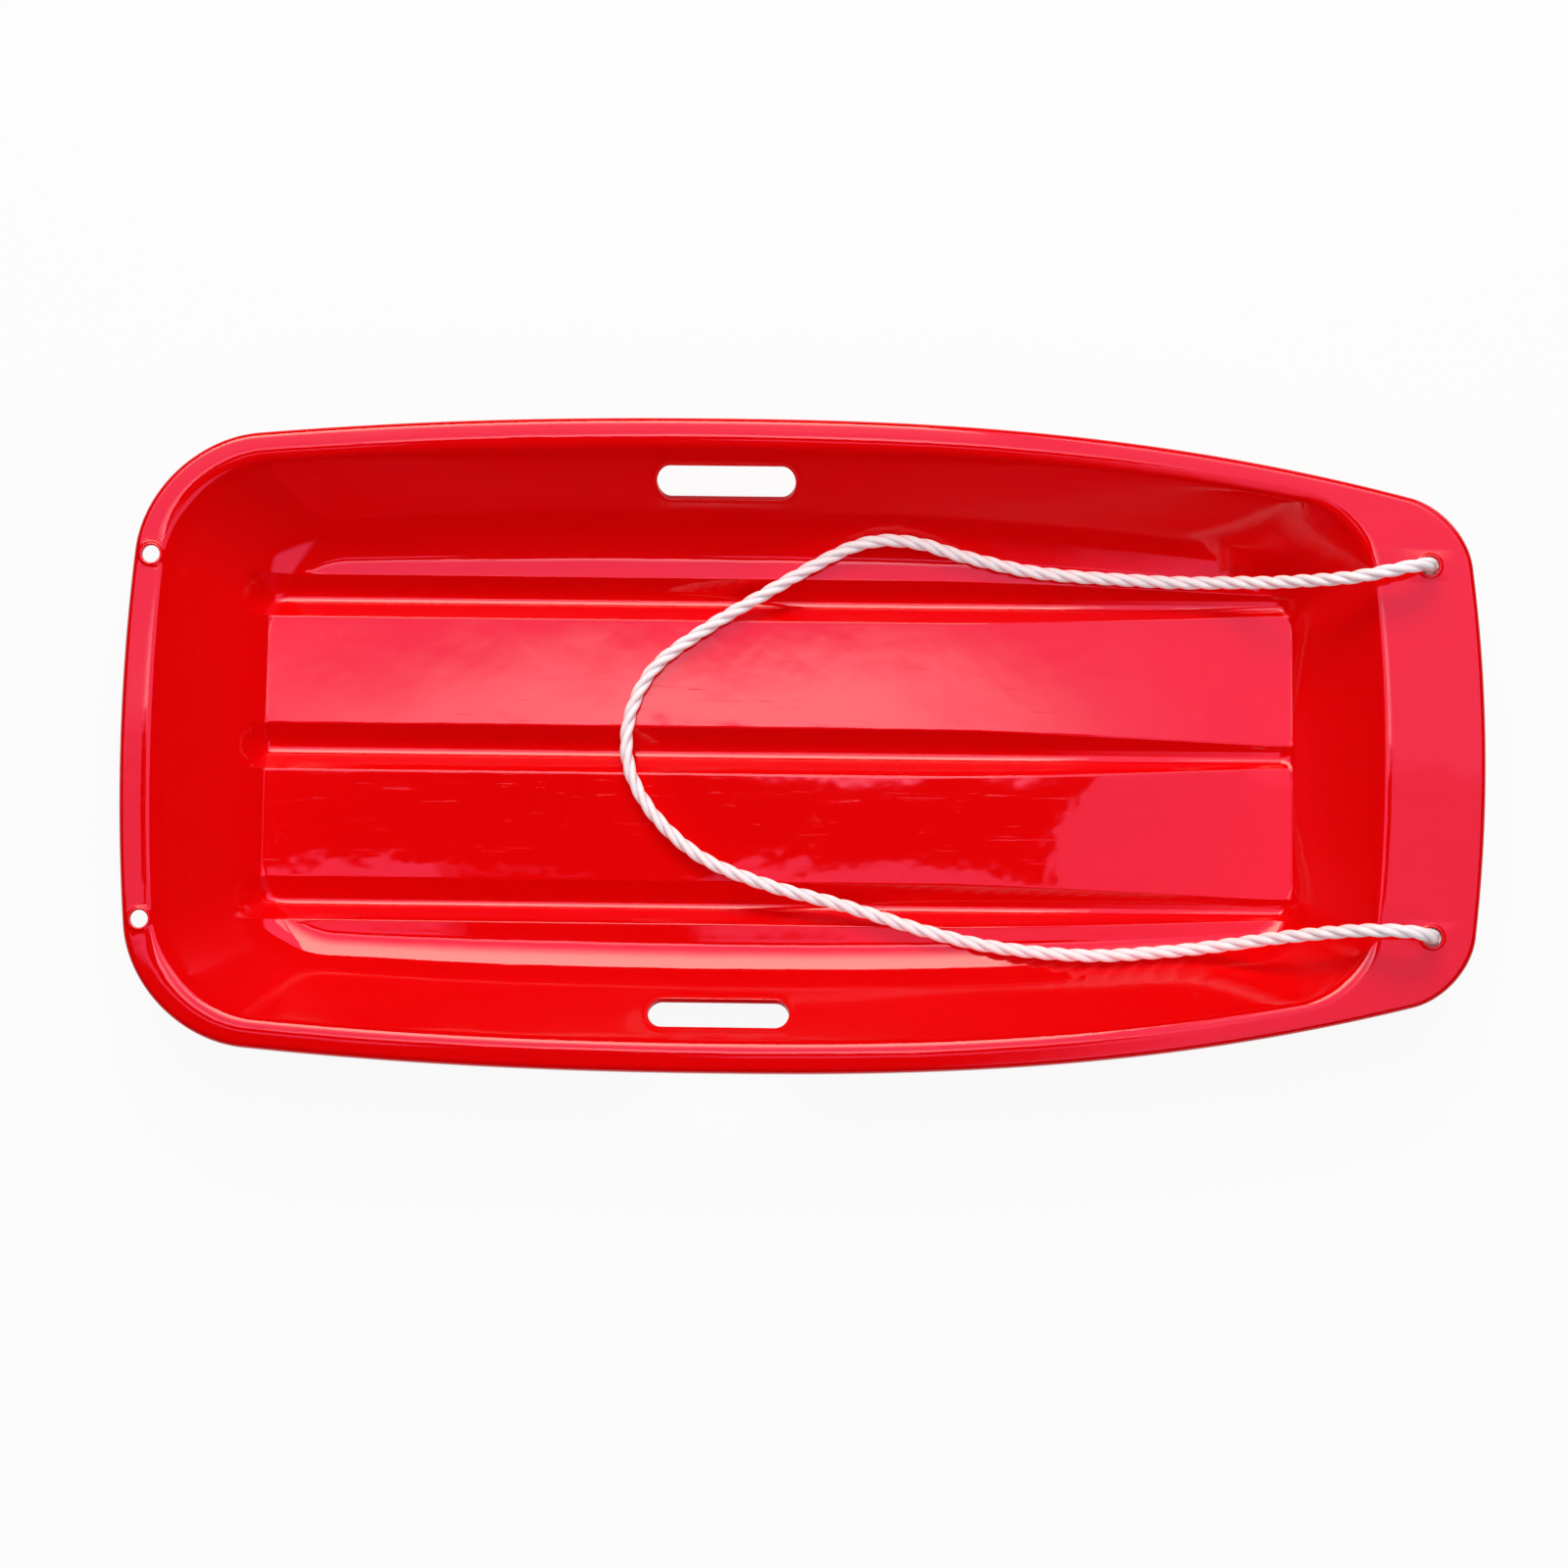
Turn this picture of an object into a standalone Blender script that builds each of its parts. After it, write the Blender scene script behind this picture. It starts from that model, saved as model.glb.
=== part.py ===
"""A child's moulded plastic snow sled: one thin red shell and a white tow rope knotted through its front deck.

Units are metres. X runs from the square rear to the front deck, Y to the sled's left, Z up from the ground.
"""

import math

import bmesh
import bpy
from mathutils import Matrix, Vector
from mathutils.geometry import interpolate_bezier

# Overall size of the shell
LENGTH = 0.900
WIDTH = 0.433
WALL = 0.003
TUB_DEPTH = 0.058
GROOVE_DEPTH = 0.010

# Plan shape: the sides bow out to the widest place and draw in to both ends
WIDEST_AT = -0.058
REAR_DRAW_IN = 0.0213
FRONT_DRAW_IN = 0.0620
REAR_DRAW_POWER = 2.0
FRONT_DRAW_POWER = 2.43
REAR_BOW_RADIUS = 1.50
FRONT_BOW_RADIUS = 1.02
REAR_CORNER = 0.100
FRONT_CORNER = 0.037

# Rim, front deck and the skirt that turns down round them
SIDE_RIM = 0.0149
REAR_RIM = 0.0160
FRONT_DECK = 0.0618
SKIRT_DROP = 0.014
SKIRT_LEAN = 0.0005
SKIRT_ROUND = 0.003
REAR_RIM_CORNER = 0.084
FRONT_RIM_CORNER = 0.044

# Walls of the tub, seen from above, from the rim's inner edge to the floor
SIDE_RUN = 0.0736
REAR_RUN = 0.0718
FRONT_RUN = 0.0572
RIM_FILLET = 0.006
SIDE_FLOOR_FILLET = 0.045
END_FLOOR_FILLET = 0.005
REAR_FLOOR_CORNER = 0.062
FRONT_FLOOR_CORNER = 0.036
FLOOR_DRAW_SHARE = 0.4

# Three grooves in the floor, which are the keels that the sled runs on
SIDE_GROOVE_INSET = 0.025
CENTRE_GROOVE_FLAT = 0.0120
SIDE_GROOVE_FLAT = 0.0090
GROOVE_SLOPE = math.radians(43.0)
GROOVE_REAR_GAP = 0.0195
GROOVE_REAR_RAMP = 0.0225
GROOVE_FRONT_RAMP = 0.0166
GROOVE_FRONT_DEPTH = 0.0037
KEEL_RISE_LENGTH = 0.218
KEEL_RISE_POWER = 1.3

# Openings
SLOT_LENGTH = 0.093
SLOT_WIDTH = 0.0226
SLOT_X = -0.0515
SLOT_FROM_RIM = 0.0251
REAR_HOLE = 0.0116
REAR_HOLE_INSET = 0.01384
REAR_HOLE_FROM_SIDE = 0.0957
FRONT_HOLE_INSET = 0.02958
FRONT_HOLE_FROM_SIDE = 0.0943
LIP_WIDTH = 0.0021
LIP_HEIGHT = 0.0008

# Tow rope and its stopper knots
ROPE = 0.009
ROPE_CLEARANCE = 0.00165
ROPE_LIE = 0.005
ROPE_BULGE = 0.1222
KNOT_SHOULDER = 0.00635
KNOT_HEIGHT = 0.022
KNOT_TAIL = 0.014
SEAT_GAP = 0.0003

# How finely the loft and the curves are cut
REAR_STEPS = 5
REAR_CORNER_STEPS = 8
SIDE_STEPS = 16
FRONT_CORNER_STEPS = 7
FRONT_STEPS = 5
SKIRT_ROUND_STEPS = 3
RIM_FILLET_STEPS = 2
FLOOR_FILLET_STEPS = 5
ROPE_POINTS = 78

# Places and sizes that follow from the ones above
FLOOR_TOP = GROOVE_DEPTH + WALL
RIM_TOP = FLOOR_TOP + TUB_DEPTH
DECK_UNDERSIDE = RIM_TOP - WALL
REAR_END = -LENGTH / 2
FRONT_END = LENGTH / 2
GROOVE_REAR = REAR_END + REAR_RIM + REAR_RUN + GROOVE_REAR_GAP
GROOVE_FRONT = FRONT_END - FRONT_DECK - FRONT_RUN
KEEL_RISE_END = GROOVE_FRONT - GROOVE_FRONT_RAMP
KEEL_RISE_START = KEEL_RISE_END - KEEL_RISE_LENGTH
GROOVE_PITCH = WIDTH / 2 - SIDE_RIM - SIDE_RUN - SIDE_GROOVE_INSET
SLOT_AT = Vector((SLOT_X, WIDTH / 2 - SIDE_RIM - SLOT_FROM_RIM))
REAR_HOLE_Y = WIDTH / 2 - REAR_HOLE_FROM_SIDE
FRONT_HOLE_Y = WIDTH / 2 - FRONT_HOLE_FROM_SIDE
REAR_BOW = REAR_HOLE_Y**2 / (2 * REAR_BOW_RADIUS)
FRONT_BOW = FRONT_HOLE_Y**2 / (2 * FRONT_BOW_RADIUS)
REAR_HOLE_AT = Vector((REAR_END + REAR_BOW + REAR_HOLE_INSET, REAR_HOLE_Y))
FRONT_HOLE_AT = Vector((FRONT_END - FRONT_BOW - FRONT_HOLE_INSET, FRONT_HOLE_Y))
FRONT_HOLE = ROPE + 2 * ROPE_CLEARANCE
KNOT_WIDTH = FRONT_HOLE + 2 * KNOT_SHOULDER

# The tow rope's route from the left hole round to the right hole, chosen by hand on the photograph.
# Each point says how far it is behind the holes, how far to the left as a share of a hole's own
# distance from the middle, and how much of the tub's depth it is above a rope lying on the floor.
ROPE_ROUTE = [
    (0.0000, 1.000, 0.948),
    (0.0024, 0.994, 1.103),
    (0.0091, 0.982, 1.198),
    (0.0181, 0.967, 1.233),
    (0.0301, 0.948, 1.216),
    (0.0531, 0.923, 1.034),
    (0.0981, 0.933, 0.491),
    (0.1231, 0.949, 0.224),
    (0.1481, 0.957, 0.060),
    (0.1741, 0.966, 0.003),
    (0.2531, 1.008, 0.000),
    (0.3061, 1.097, 0.014),
    (0.3331, 1.158, 0.052),
    (0.3571, 1.175, 0.069),
    (0.3771, 1.146, 0.041),
    (0.3993, 1.061, 0.003),
    (0.4391, 0.872, 0.000),
    (0.4781, 0.675, 0.000),
    (0.5111, 0.466, 0.000),
    (0.5261, 0.254, 0.000),
    (0.5307, 0.025, 0.000),
    (0.5246, -0.188, 0.000),
    (0.5066, -0.405, 0.000),
    (0.4771, -0.601, 0.000),
    (0.4361, -0.736, 0.000),
    (0.3831, -0.849, 0.000),
    (0.3306, -0.978, 0.000),
    (0.2911, -1.054, 0.003),
    (0.2521, -1.093, 0.021),
    (0.2131, -1.107, 0.043),
    (0.1731, -1.085, 0.040),
    (0.1481, -1.064, 0.078),
    (0.1231, -1.036, 0.233),
    (0.0981, -1.007, 0.491),
    (0.0531, -0.973, 1.034),
    (0.0301, -0.972, 1.216),
    (0.0181, -0.978, 1.233),
    (0.0091, -0.988, 1.198),
    (0.0024, -0.998, 1.103),
    (0.0000, -1.000, 0.948),
]


def collection(name, hidden=False):
    """A new collection of the scene; a hidden one holds cutters."""
    made = bpy.data.collections.new(name)
    bpy.context.scene.collection.children.link(made)
    made.hide_render = hidden
    return made


def material(name, colour, roughness, metallic=0.0):
    """A plain Principled material."""
    made = bpy.data.materials.new(name)
    made.use_nodes = True
    shader = made.node_tree.nodes["Principled BSDF"]
    shader.inputs["Base Color"].default_value = (*colour, 1.0)
    shader.inputs["Roughness"].default_value = roughness
    shader.inputs["Metallic"].default_value = metallic
    return made


def new_object(name, mesh, home):
    made = bpy.data.objects.new(name, mesh)
    home.objects.link(made)
    return made


def as_cutter(item):
    """Marks an object as a cutter, which the finished sled leaves out."""
    item.hide_render = True
    item.display_type = "WIRE"


def boolean(target, tool, operation):
    """Adds an exact Boolean of one object with another."""
    step = target.modifiers.new(operation.title(), "BOOLEAN")
    step.operation = operation
    step.solver = "EXACT"
    step.object = tool


def draw_in(x):
    """How far the outer side has drawn in at x from its widest place."""
    if x < WIDEST_AT:
        share = (WIDEST_AT - x) / (WIDEST_AT - REAR_END)
        return REAR_DRAW_IN * share**REAR_DRAW_POWER
    share = (x - WIDEST_AT) / (FRONT_END - WIDEST_AT)
    return FRONT_DRAW_IN * share**FRONT_DRAW_POWER


def meeting_point(first, first_way, second, second_way):
    """Where two lines in the plan cross."""
    cross = first_way.x * second_way.y - first_way.y * second_way.x
    between = second - first
    along = (between.x * second_way.y - between.y * second_way.x) / cross
    return first + first_way * along


def rounded_corner(start, start_way, end, end_way, steps):
    """Points of a rounded corner that leaves and meets its two sides smoothly."""
    tip = meeting_point(start, start_way, end, end_way)
    reach = 0.5523
    first_handle = start.lerp(tip, reach)
    second_handle = end.lerp(tip, reach)
    return [Vector(p[:2]) for p in interpolate_bezier(start, first_handle, second_handle, end, steps + 1)]


class Outline:
    """One level line of the shell in plan: a bowed four-sided shape with rounded corners."""

    def __init__(self, side, rear, front, rear_corner, front_corner, side_share=1.0, bow_share=1.0):
        self.side = side
        self.rear = rear
        self.front = front
        self.rear_corner = rear_corner
        self.front_corner = front_corner
        self.side_share = side_share
        self.bow_share = bow_share

    def half_width(self, x):
        return WIDTH / 2 - self.side - self.side_share * draw_in(x)

    def rear_x(self, y):
        return REAR_END + self.rear + self.bow_share * y * y / (2 * REAR_BOW_RADIUS)

    def front_x(self, y):
        return FRONT_END - self.front - self.bow_share * y * y / (2 * FRONT_BOW_RADIUS)

    def tip(self, end_x):
        """The sharp corner that the side would make with one end."""
        y = WIDTH / 2
        for _ in range(20):
            y = self.half_width(end_x(y))
        return Vector((end_x(y), y))

    def left_half(self):
        """Points from the middle of the rear, along the left side, to the middle of the front."""
        step = 1e-5
        rear_tip = self.tip(self.rear_x)
        front_tip = self.tip(self.front_x)
        rear_y = rear_tip.y - self.rear_corner
        front_y = front_tip.y - self.front_corner
        rear_side_x = rear_tip.x + self.rear_corner
        front_side_x = front_tip.x - self.front_corner

        def on_rear(y):
            return Vector((self.rear_x(y), y))

        def on_front(y):
            return Vector((self.front_x(y), y))

        def on_side(x):
            return Vector((x, self.half_width(x)))

        def way(curve, at):
            return (curve(at + step) - curve(at - step)).normalized()

        points = [on_rear(rear_y * i / REAR_STEPS) for i in range(REAR_STEPS)]
        points += rounded_corner(
            on_rear(rear_y),
            way(on_rear, rear_y),
            on_side(rear_side_x),
            way(on_side, rear_side_x),
            REAR_CORNER_STEPS,
        )
        run = front_side_x - rear_side_x
        points += [on_side(rear_side_x + run * i / SIDE_STEPS) for i in range(1, SIDE_STEPS)]
        points += rounded_corner(
            on_side(front_side_x),
            way(on_side, front_side_x),
            on_front(front_y),
            way(on_front, front_y),
            FRONT_CORNER_STEPS,
        )
        points += [on_front(front_y * (1 - i / FRONT_STEPS)) for i in range(1, FRONT_STEPS + 1)]
        return points

    def ring(self, z):
        """The whole closed outline at height z, anticlockwise from above seen from the front."""
        half = self.left_half()
        right = [Vector((p.x, -p.y)) for p in reversed(half[1:-1])]
        return [Vector((p.x, p.y, z)) for p in half + right]


class Wall:
    """The tub wall's upright profile on one side: rim fillet, straight slope, floor fillet."""

    def __init__(self, run, floor_fillet):
        radii = RIM_FILLET + floor_fillet
        reach = math.hypot(run, TUB_DEPTH - radii)
        self.run = run
        self.floor_fillet = floor_fillet
        self.slope = math.atan2(TUB_DEPTH - radii, run) + math.asin(radii / reach)

    def run_at(self, drop):
        """How far inward the wall has run at a drop below the rim."""
        turned = 1 - math.cos(self.slope)
        left = max(TUB_DEPTH - drop, 0.0)
        if drop < RIM_FILLET * turned:
            return RIM_FILLET * math.sin(math.acos(1 - drop / RIM_FILLET))
        if left < self.floor_fillet * turned:
            return self.run - self.floor_fillet * math.sin(math.acos(1 - left / self.floor_fillet))
        return RIM_FILLET * math.sin(self.slope) + (drop - RIM_FILLET * turned) / math.tan(self.slope)

    def drop_at(self, run):
        """How far below the rim the wall's straight part is at a run."""
        start = RIM_FILLET * math.sin(self.slope)
        return RIM_FILLET * (1 - math.cos(self.slope)) + (run - start) * math.tan(self.slope)

    def drops(self):
        """Drops below the rim at which the wall gets its rings."""
        turns = [self.slope * i / RIM_FILLET_STEPS for i in range(RIM_FILLET_STEPS + 1)]
        upper = [RIM_FILLET * (1 - math.cos(turn)) for turn in turns]
        turns = [self.slope * (1 - i / FLOOR_FILLET_STEPS) for i in range(FLOOR_FILLET_STEPS + 1)]
        return upper + [TUB_DEPTH - self.floor_fillet * (1 - math.cos(turn)) for turn in turns]


def blend(start, end, share):
    return start + (end - start) * share


def shell_rings():
    """Level rings of the shell's upper surface, from the skirt's lower edge to the floor."""

    def rim_outline(inset):
        return Outline(inset, inset, inset, REAR_CORNER - inset, FRONT_CORNER)

    rings = [rim_outline(0.0).ring(RIM_TOP - SKIRT_DROP)]
    for i in range(SKIRT_ROUND_STEPS + 1):
        turn = math.pi / 2 * i / SKIRT_ROUND_STEPS
        inset = SKIRT_LEAN + SKIRT_ROUND * (1 - math.cos(turn))
        rings.append(rim_outline(inset).ring(RIM_TOP - SKIRT_ROUND * (1 - math.sin(turn))))
    side = Wall(SIDE_RUN, SIDE_FLOOR_FILLET)
    rear = Wall(REAR_RUN, END_FLOOR_FILLET)
    front = Wall(FRONT_RUN, END_FLOOR_FILLET)
    for drop in side.drops():
        share = side.run_at(drop) / SIDE_RUN
        level = Outline(
            SIDE_RIM + side.run_at(drop),
            REAR_RIM + rear.run_at(drop),
            FRONT_DECK + front.run_at(drop),
            blend(REAR_RIM_CORNER, REAR_FLOOR_CORNER, share),
            blend(FRONT_RIM_CORNER, FRONT_FLOOR_CORNER, share),
            blend(1.0, FLOOR_DRAW_SHARE, share),
            blend(1.0, 0.0, share),
        )
        rings.append(level.ring(RIM_TOP - drop))
    return rings


def loft(name, rings, home, close_start, close_end):
    """A surface through rings that have the same number of points."""
    shape = bmesh.new()
    rows = [[shape.verts.new(p) for p in ring] for ring in rings]
    for lower, upper in zip(rows, rows[1:]):
        for i, vert in enumerate(lower):
            after = (i + 1) % len(lower)
            shape.faces.new((vert, lower[after], upper[after], upper[i]))
    if close_start:
        shape.faces.new(reversed(rows[0]))
    if close_end:
        shape.faces.new(rows[-1])
    bmesh.ops.recalc_face_normals(shape, faces=shape.faces)
    mesh = bpy.data.meshes.new(name)
    shape.to_mesh(mesh)
    shape.free()
    return new_object(name, mesh, home)


def groove_floor(x):
    """Height of a groove's floor above the ground at x: level, then rising to the front."""
    if x <= KEEL_RISE_START:
        return WALL
    share = (x - KEEL_RISE_START) / KEEL_RISE_LENGTH
    return WALL + (GROOVE_DEPTH - GROOVE_FRONT_DEPTH) * min(share, 1.0) ** KEEL_RISE_POWER


def groove_body(name, y, flat, offset, top, home):
    """A keel's body, grown outward from the groove's own surface by an offset and closed at height top."""
    lost = FLOOR_TOP + WALL / 2
    rise_steps = 5
    stations = [(GROOVE_REAR - GROOVE_REAR_RAMP, lost), (GROOVE_REAR, WALL)]
    for i in range(rise_steps + 1):
        x = blend(KEEL_RISE_START, KEEL_RISE_END, i / rise_steps)
        stations.append((x, groove_floor(x)))
    stations.append((GROOVE_FRONT, lost))
    rings = []
    for x, floor in stations:
        bottom = floor - offset
        foot = flat / 2 + offset * math.tan(GROOVE_SLOPE / 2)
        head = foot + (top - bottom) / math.tan(GROOVE_SLOPE)
        rings.append(
            [
                Vector((x, y - head, top)),
                Vector((x, y - foot, bottom)),
                Vector((x, y + foot, bottom)),
                Vector((x, y + head, top)),
            ]
        )
    return loft(name, rings, home, True, True)


def disc_tool(name, at, width, low, high, home):
    """An upright round tool between two heights."""
    bpy.ops.mesh.primitive_cylinder_add(
        vertices=24,
        radius=width / 2,
        depth=high - low,
        location=(at.x, at.y, (low + high) / 2),
    )
    item = bpy.context.object
    item.name = name
    move_to(item, home)
    as_cutter(item)
    return item


def make_hole(shell, name, at, width, home):
    """A rope hole with its low raised lip."""
    lip = disc_tool(f"{name}_lip_tool", at, width + 2 * LIP_WIDTH, RIM_TOP - WALL / 2, RIM_TOP + LIP_HEIGHT, home)
    hole = disc_tool(f"{name}_tool", at, width, RIM_TOP - 4 * WALL, RIM_TOP + 4 * WALL, home)
    boolean(shell, lip, "UNION")
    boolean(shell, hole, "DIFFERENCE")


def slot_cutter(name, at, home):
    """A cutter with round ends for a hand slot, cut square through the side wall."""
    wall = Wall(SIDE_RUN, SIDE_FLOOR_FILLET)
    side = 1 if at.y > 0 else -1
    centre_run = WIDTH / 2 - SIDE_RIM - abs(at.y)
    through = Vector((0.0, -side * math.sin(wall.slope), math.cos(wall.slope)))
    radius = SLOT_WIDTH / 2
    straight = SLOT_LENGTH / 2 - radius
    end_steps = 10
    outline = []
    for centre, first in ((straight, -math.pi / 2), (-straight, math.pi / 2)):
        for i in range(end_steps + 1):
            turn = first + math.pi * i / end_steps
            y = radius * math.sin(turn)
            z = RIM_TOP - wall.drop_at(centre_run - side * y)
            outline.append(Vector((at.x + centre + radius * math.cos(turn), at.y + y, z)))
    rings = [[p + through * reach for p in outline] for reach in (-3 * WALL, 2 * WALL)]
    item = loft(name, rings, home, True, True)
    as_cutter(item)
    return item


def move_to(item, home):
    """Puts an object in one collection only."""
    for old in list(item.users_collection):
        old.objects.unlink(item)
    home.objects.link(item)


def make_shell(home, tools, skin):
    """The moulded shell: rim, deck, tub, keels, hand slots and rope holes."""
    shell = loft("hull_shell", shell_rings(), home, False, True)
    if shell.data.polygons[-1].normal.z < 0:
        shell.data.flip_normals()
    thick = shell.modifiers.new("Thickness", "SOLIDIFY")
    thick.thickness = WALL
    thick.offset = -1.0
    thick.use_even_offset = True
    grooves = (
        ("centre", 0.0, CENTRE_GROOVE_FLAT),
        ("left", GROOVE_PITCH, SIDE_GROOVE_FLAT),
        ("right", -GROOVE_PITCH, SIDE_GROOVE_FLAT),
    )
    for side, y, flat in grooves:
        keel = groove_body(f"{side}_keel_tool", y, flat, WALL, FLOOR_TOP - WALL / 4, tools)
        as_cutter(keel)
        boolean(shell, keel, "UNION")
    for side, y, flat in grooves:
        groove = groove_body(f"{side}_groove_tool", y, flat, 0.0, FLOOR_TOP + 3 * WALL, tools)
        as_cutter(groove)
        boolean(shell, groove, "DIFFERENCE")
    for side, sign in (("left", 1), ("right", -1)):
        flip = Vector((1, sign))
        boolean(shell, slot_cutter(f"{side}_slot_tool", SLOT_AT * flip, tools), "DIFFERENCE")
        make_hole(shell, f"{side}_rear_hole", REAR_HOLE_AT * flip, REAR_HOLE, tools)
        make_hole(shell, f"{side}_front_hole", FRONT_HOLE_AT * flip, FRONT_HOLE, tools)
    shell.data.materials.append(skin)
    return shell


def knot_top():
    """Height of a knot's crown, which stands up into the hole until its shoulder meets the deck."""
    share = FRONT_HOLE / KNOT_WIDTH
    crown = KNOT_HEIGHT / 2 * (1 - math.sqrt(1 - share * share))
    return DECK_UNDERSIDE + crown - 2 * SEAT_GAP


def make_knot(name, sign, home, tools, skin):
    """A pulled-tight stopper knot with the rope's short tail below it."""
    centre = Vector((FRONT_HOLE_AT.x, FRONT_HOLE_AT.y * sign, knot_top() - KNOT_HEIGHT / 2))
    bpy.ops.mesh.primitive_uv_sphere_add(
        segments=20,
        ring_count=12,
        radius=KNOT_WIDTH / 2,
        location=centre,
    )
    knot = bpy.context.object
    knot.name = name
    knot.data.transform(Matrix.Diagonal((1.0, 1.0, KNOT_HEIGHT / KNOT_WIDTH, 1.0)))
    move_to(knot, home)
    tail_depth = KNOT_HEIGHT / 2 + KNOT_TAIL
    bpy.ops.mesh.primitive_cylinder_add(
        vertices=12,
        radius=ROPE / 2,
        depth=tail_depth,
        location=centre - Vector((0, 0, tail_depth / 2)),
    )
    tail = bpy.context.object
    tail.name = f"{name}_tail_tool"
    move_to(tail, tools)
    as_cutter(tail)
    boolean(knot, tail, "UNION")
    knot.data.materials.append(skin)
    knot.data.shade_smooth()
    return knot


def travel(before, at, after):
    """The way a smooth curve runs at one of its points, with a length of about one."""
    back = at - before
    ahead = after - at
    weight = back.length / (back.length + ahead.length)
    return back.normalized().lerp(ahead.normalized(), 1 - weight)


def smooth_route(points, count):
    """Evenly spaced points on a smooth curve through the route's own points."""
    ends = [points[0] * 2 - points[1]] + points + [points[-1] * 2 - points[-2]]
    dense = []
    for before, start, end, after in zip(ends, ends[1:], ends[2:], ends[3:]):
        third = (end - start).length / 3
        first_handle = start + travel(before, start, end) * third
        second_handle = end - travel(start, end, after) * third
        dense += interpolate_bezier(start, first_handle, second_handle, end, 13)[:-1]
    dense.append(points[-1])
    lengths = [0.0]
    for start, end in zip(dense, dense[1:]):
        lengths.append(lengths[-1] + (end - start).length)
    even = []
    at = 0
    for i in range(count):
        want = lengths[-1] * i / (count - 1)
        while at < len(dense) - 2 and lengths[at + 1] < want:
            at += 1
        share = (want - lengths[at]) / (lengths[at + 1] - lengths[at])
        even.append(dense[at].lerp(dense[at + 1], share))
    return even


def route_point(behind, aside, lift):
    """A point of the rope's route, which follows the holes, the walls and the floor when a size changes."""
    between_holes = max(-1.0, min(1.0, aside))
    y = between_holes * FRONT_HOLE_AT.y + (aside - between_holes) * ROPE_BULGE
    return Vector((FRONT_HOLE_AT.x - behind, y, FLOOR_TOP + ROPE_LIE + lift * TUB_DEPTH))


def make_rope(home, skin):
    """The tow rope as a plain tube from one knot to the other."""
    foot = knot_top() + SEAT_GAP
    route = [route_point(*step) for step in ROPE_ROUTE]
    points = [Vector((route[0].x, route[0].y, foot))]
    points += smooth_route(route, ROPE_POINTS - 2)
    points.append(Vector((route[-1].x, route[-1].y, foot)))
    curve = bpy.data.curves.new("tow_rope", "CURVE")
    curve.dimensions = "3D"
    curve.resolution_u = 1
    curve.bevel_depth = ROPE / 2
    curve.bevel_resolution = 2
    curve.use_fill_caps = True
    spline = curve.splines.new("POLY")
    spline.points.add(len(points) - 1)
    for knot, point in zip(spline.points, points):
        knot.co = (*point, 1.0)
    curve.materials.append(skin)
    return new_object("tow_rope", curve, home)


def main():
    for item in list(bpy.data.objects):
        bpy.data.objects.remove(item, do_unlink=True)
    sled = collection("snow_sled")
    tools = collection("cutters", hidden=True)
    red = material("red_plastic", (0.80, 0.005, 0.010), 0.12)
    white = material("white_rope", (0.86, 0.85, 0.86), 0.7)
    make_shell(sled, tools, red)
    make_rope(sled, white)
    make_knot("left_stopper_knot", 1, sled, tools, white)
    make_knot("right_stopper_knot", -1, sled, tools, white)


main()
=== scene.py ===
import math

import bmesh
import bpy
import numpy as np
from mathutils import Matrix, Vector
from mathutils.bvhtree import BVHTree
from mathutils.geometry import delaunay_2d_cdt, interpolate_bezier


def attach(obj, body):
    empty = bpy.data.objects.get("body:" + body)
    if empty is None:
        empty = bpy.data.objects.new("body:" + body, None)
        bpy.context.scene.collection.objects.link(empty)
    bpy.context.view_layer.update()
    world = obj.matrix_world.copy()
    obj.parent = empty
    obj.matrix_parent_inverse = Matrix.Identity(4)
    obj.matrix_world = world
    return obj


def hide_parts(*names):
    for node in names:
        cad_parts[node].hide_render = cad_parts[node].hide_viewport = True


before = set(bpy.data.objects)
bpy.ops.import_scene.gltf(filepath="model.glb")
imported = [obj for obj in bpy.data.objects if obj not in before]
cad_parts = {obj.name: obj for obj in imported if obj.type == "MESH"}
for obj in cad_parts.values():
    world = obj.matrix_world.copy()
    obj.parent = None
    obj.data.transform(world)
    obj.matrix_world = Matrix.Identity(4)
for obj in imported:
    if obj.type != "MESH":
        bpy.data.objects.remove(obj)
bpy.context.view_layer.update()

# Everything is in metres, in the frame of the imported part: X to the front deck, Y to the sled's left, Z up.

# The shell's sizes. They follow the part's source, except where the photo was later found to differ: the
# width, the rear end and its corners, the hand slots' width and place, and the small rounds that make the
# highlights.
LENGTH = 0.900
WIDTH = 0.4342
WALL = 0.003
TUB_DEPTH = 0.058
GROOVE_DEPTH = 0.010
FLOOR_TOP = GROOVE_DEPTH + WALL
RIM_TOP = FLOOR_TOP + TUB_DEPTH
DECK_UNDERSIDE = RIM_TOP - WALL
REAR_PULLED_IN = 0.0013
REAR_END = -LENGTH / 2 + REAR_PULLED_IN
FRONT_END = LENGTH / 2

# Plan shape
WIDEST_AT = -0.058
REAR_DRAW_IN = 0.0221
FRONT_DRAW_IN = 0.0620
REAR_DRAW_POWER = 2.18
FRONT_DRAW_POWER = 2.43
REAR_BOW_RADIUS = 1.36
FRONT_BOW_RADIUS = 1.02
REAR_CORNER = 0.0725
FRONT_CORNER = 0.036
QUARTER_CIRCLE_HANDLE = 0.5523

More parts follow.
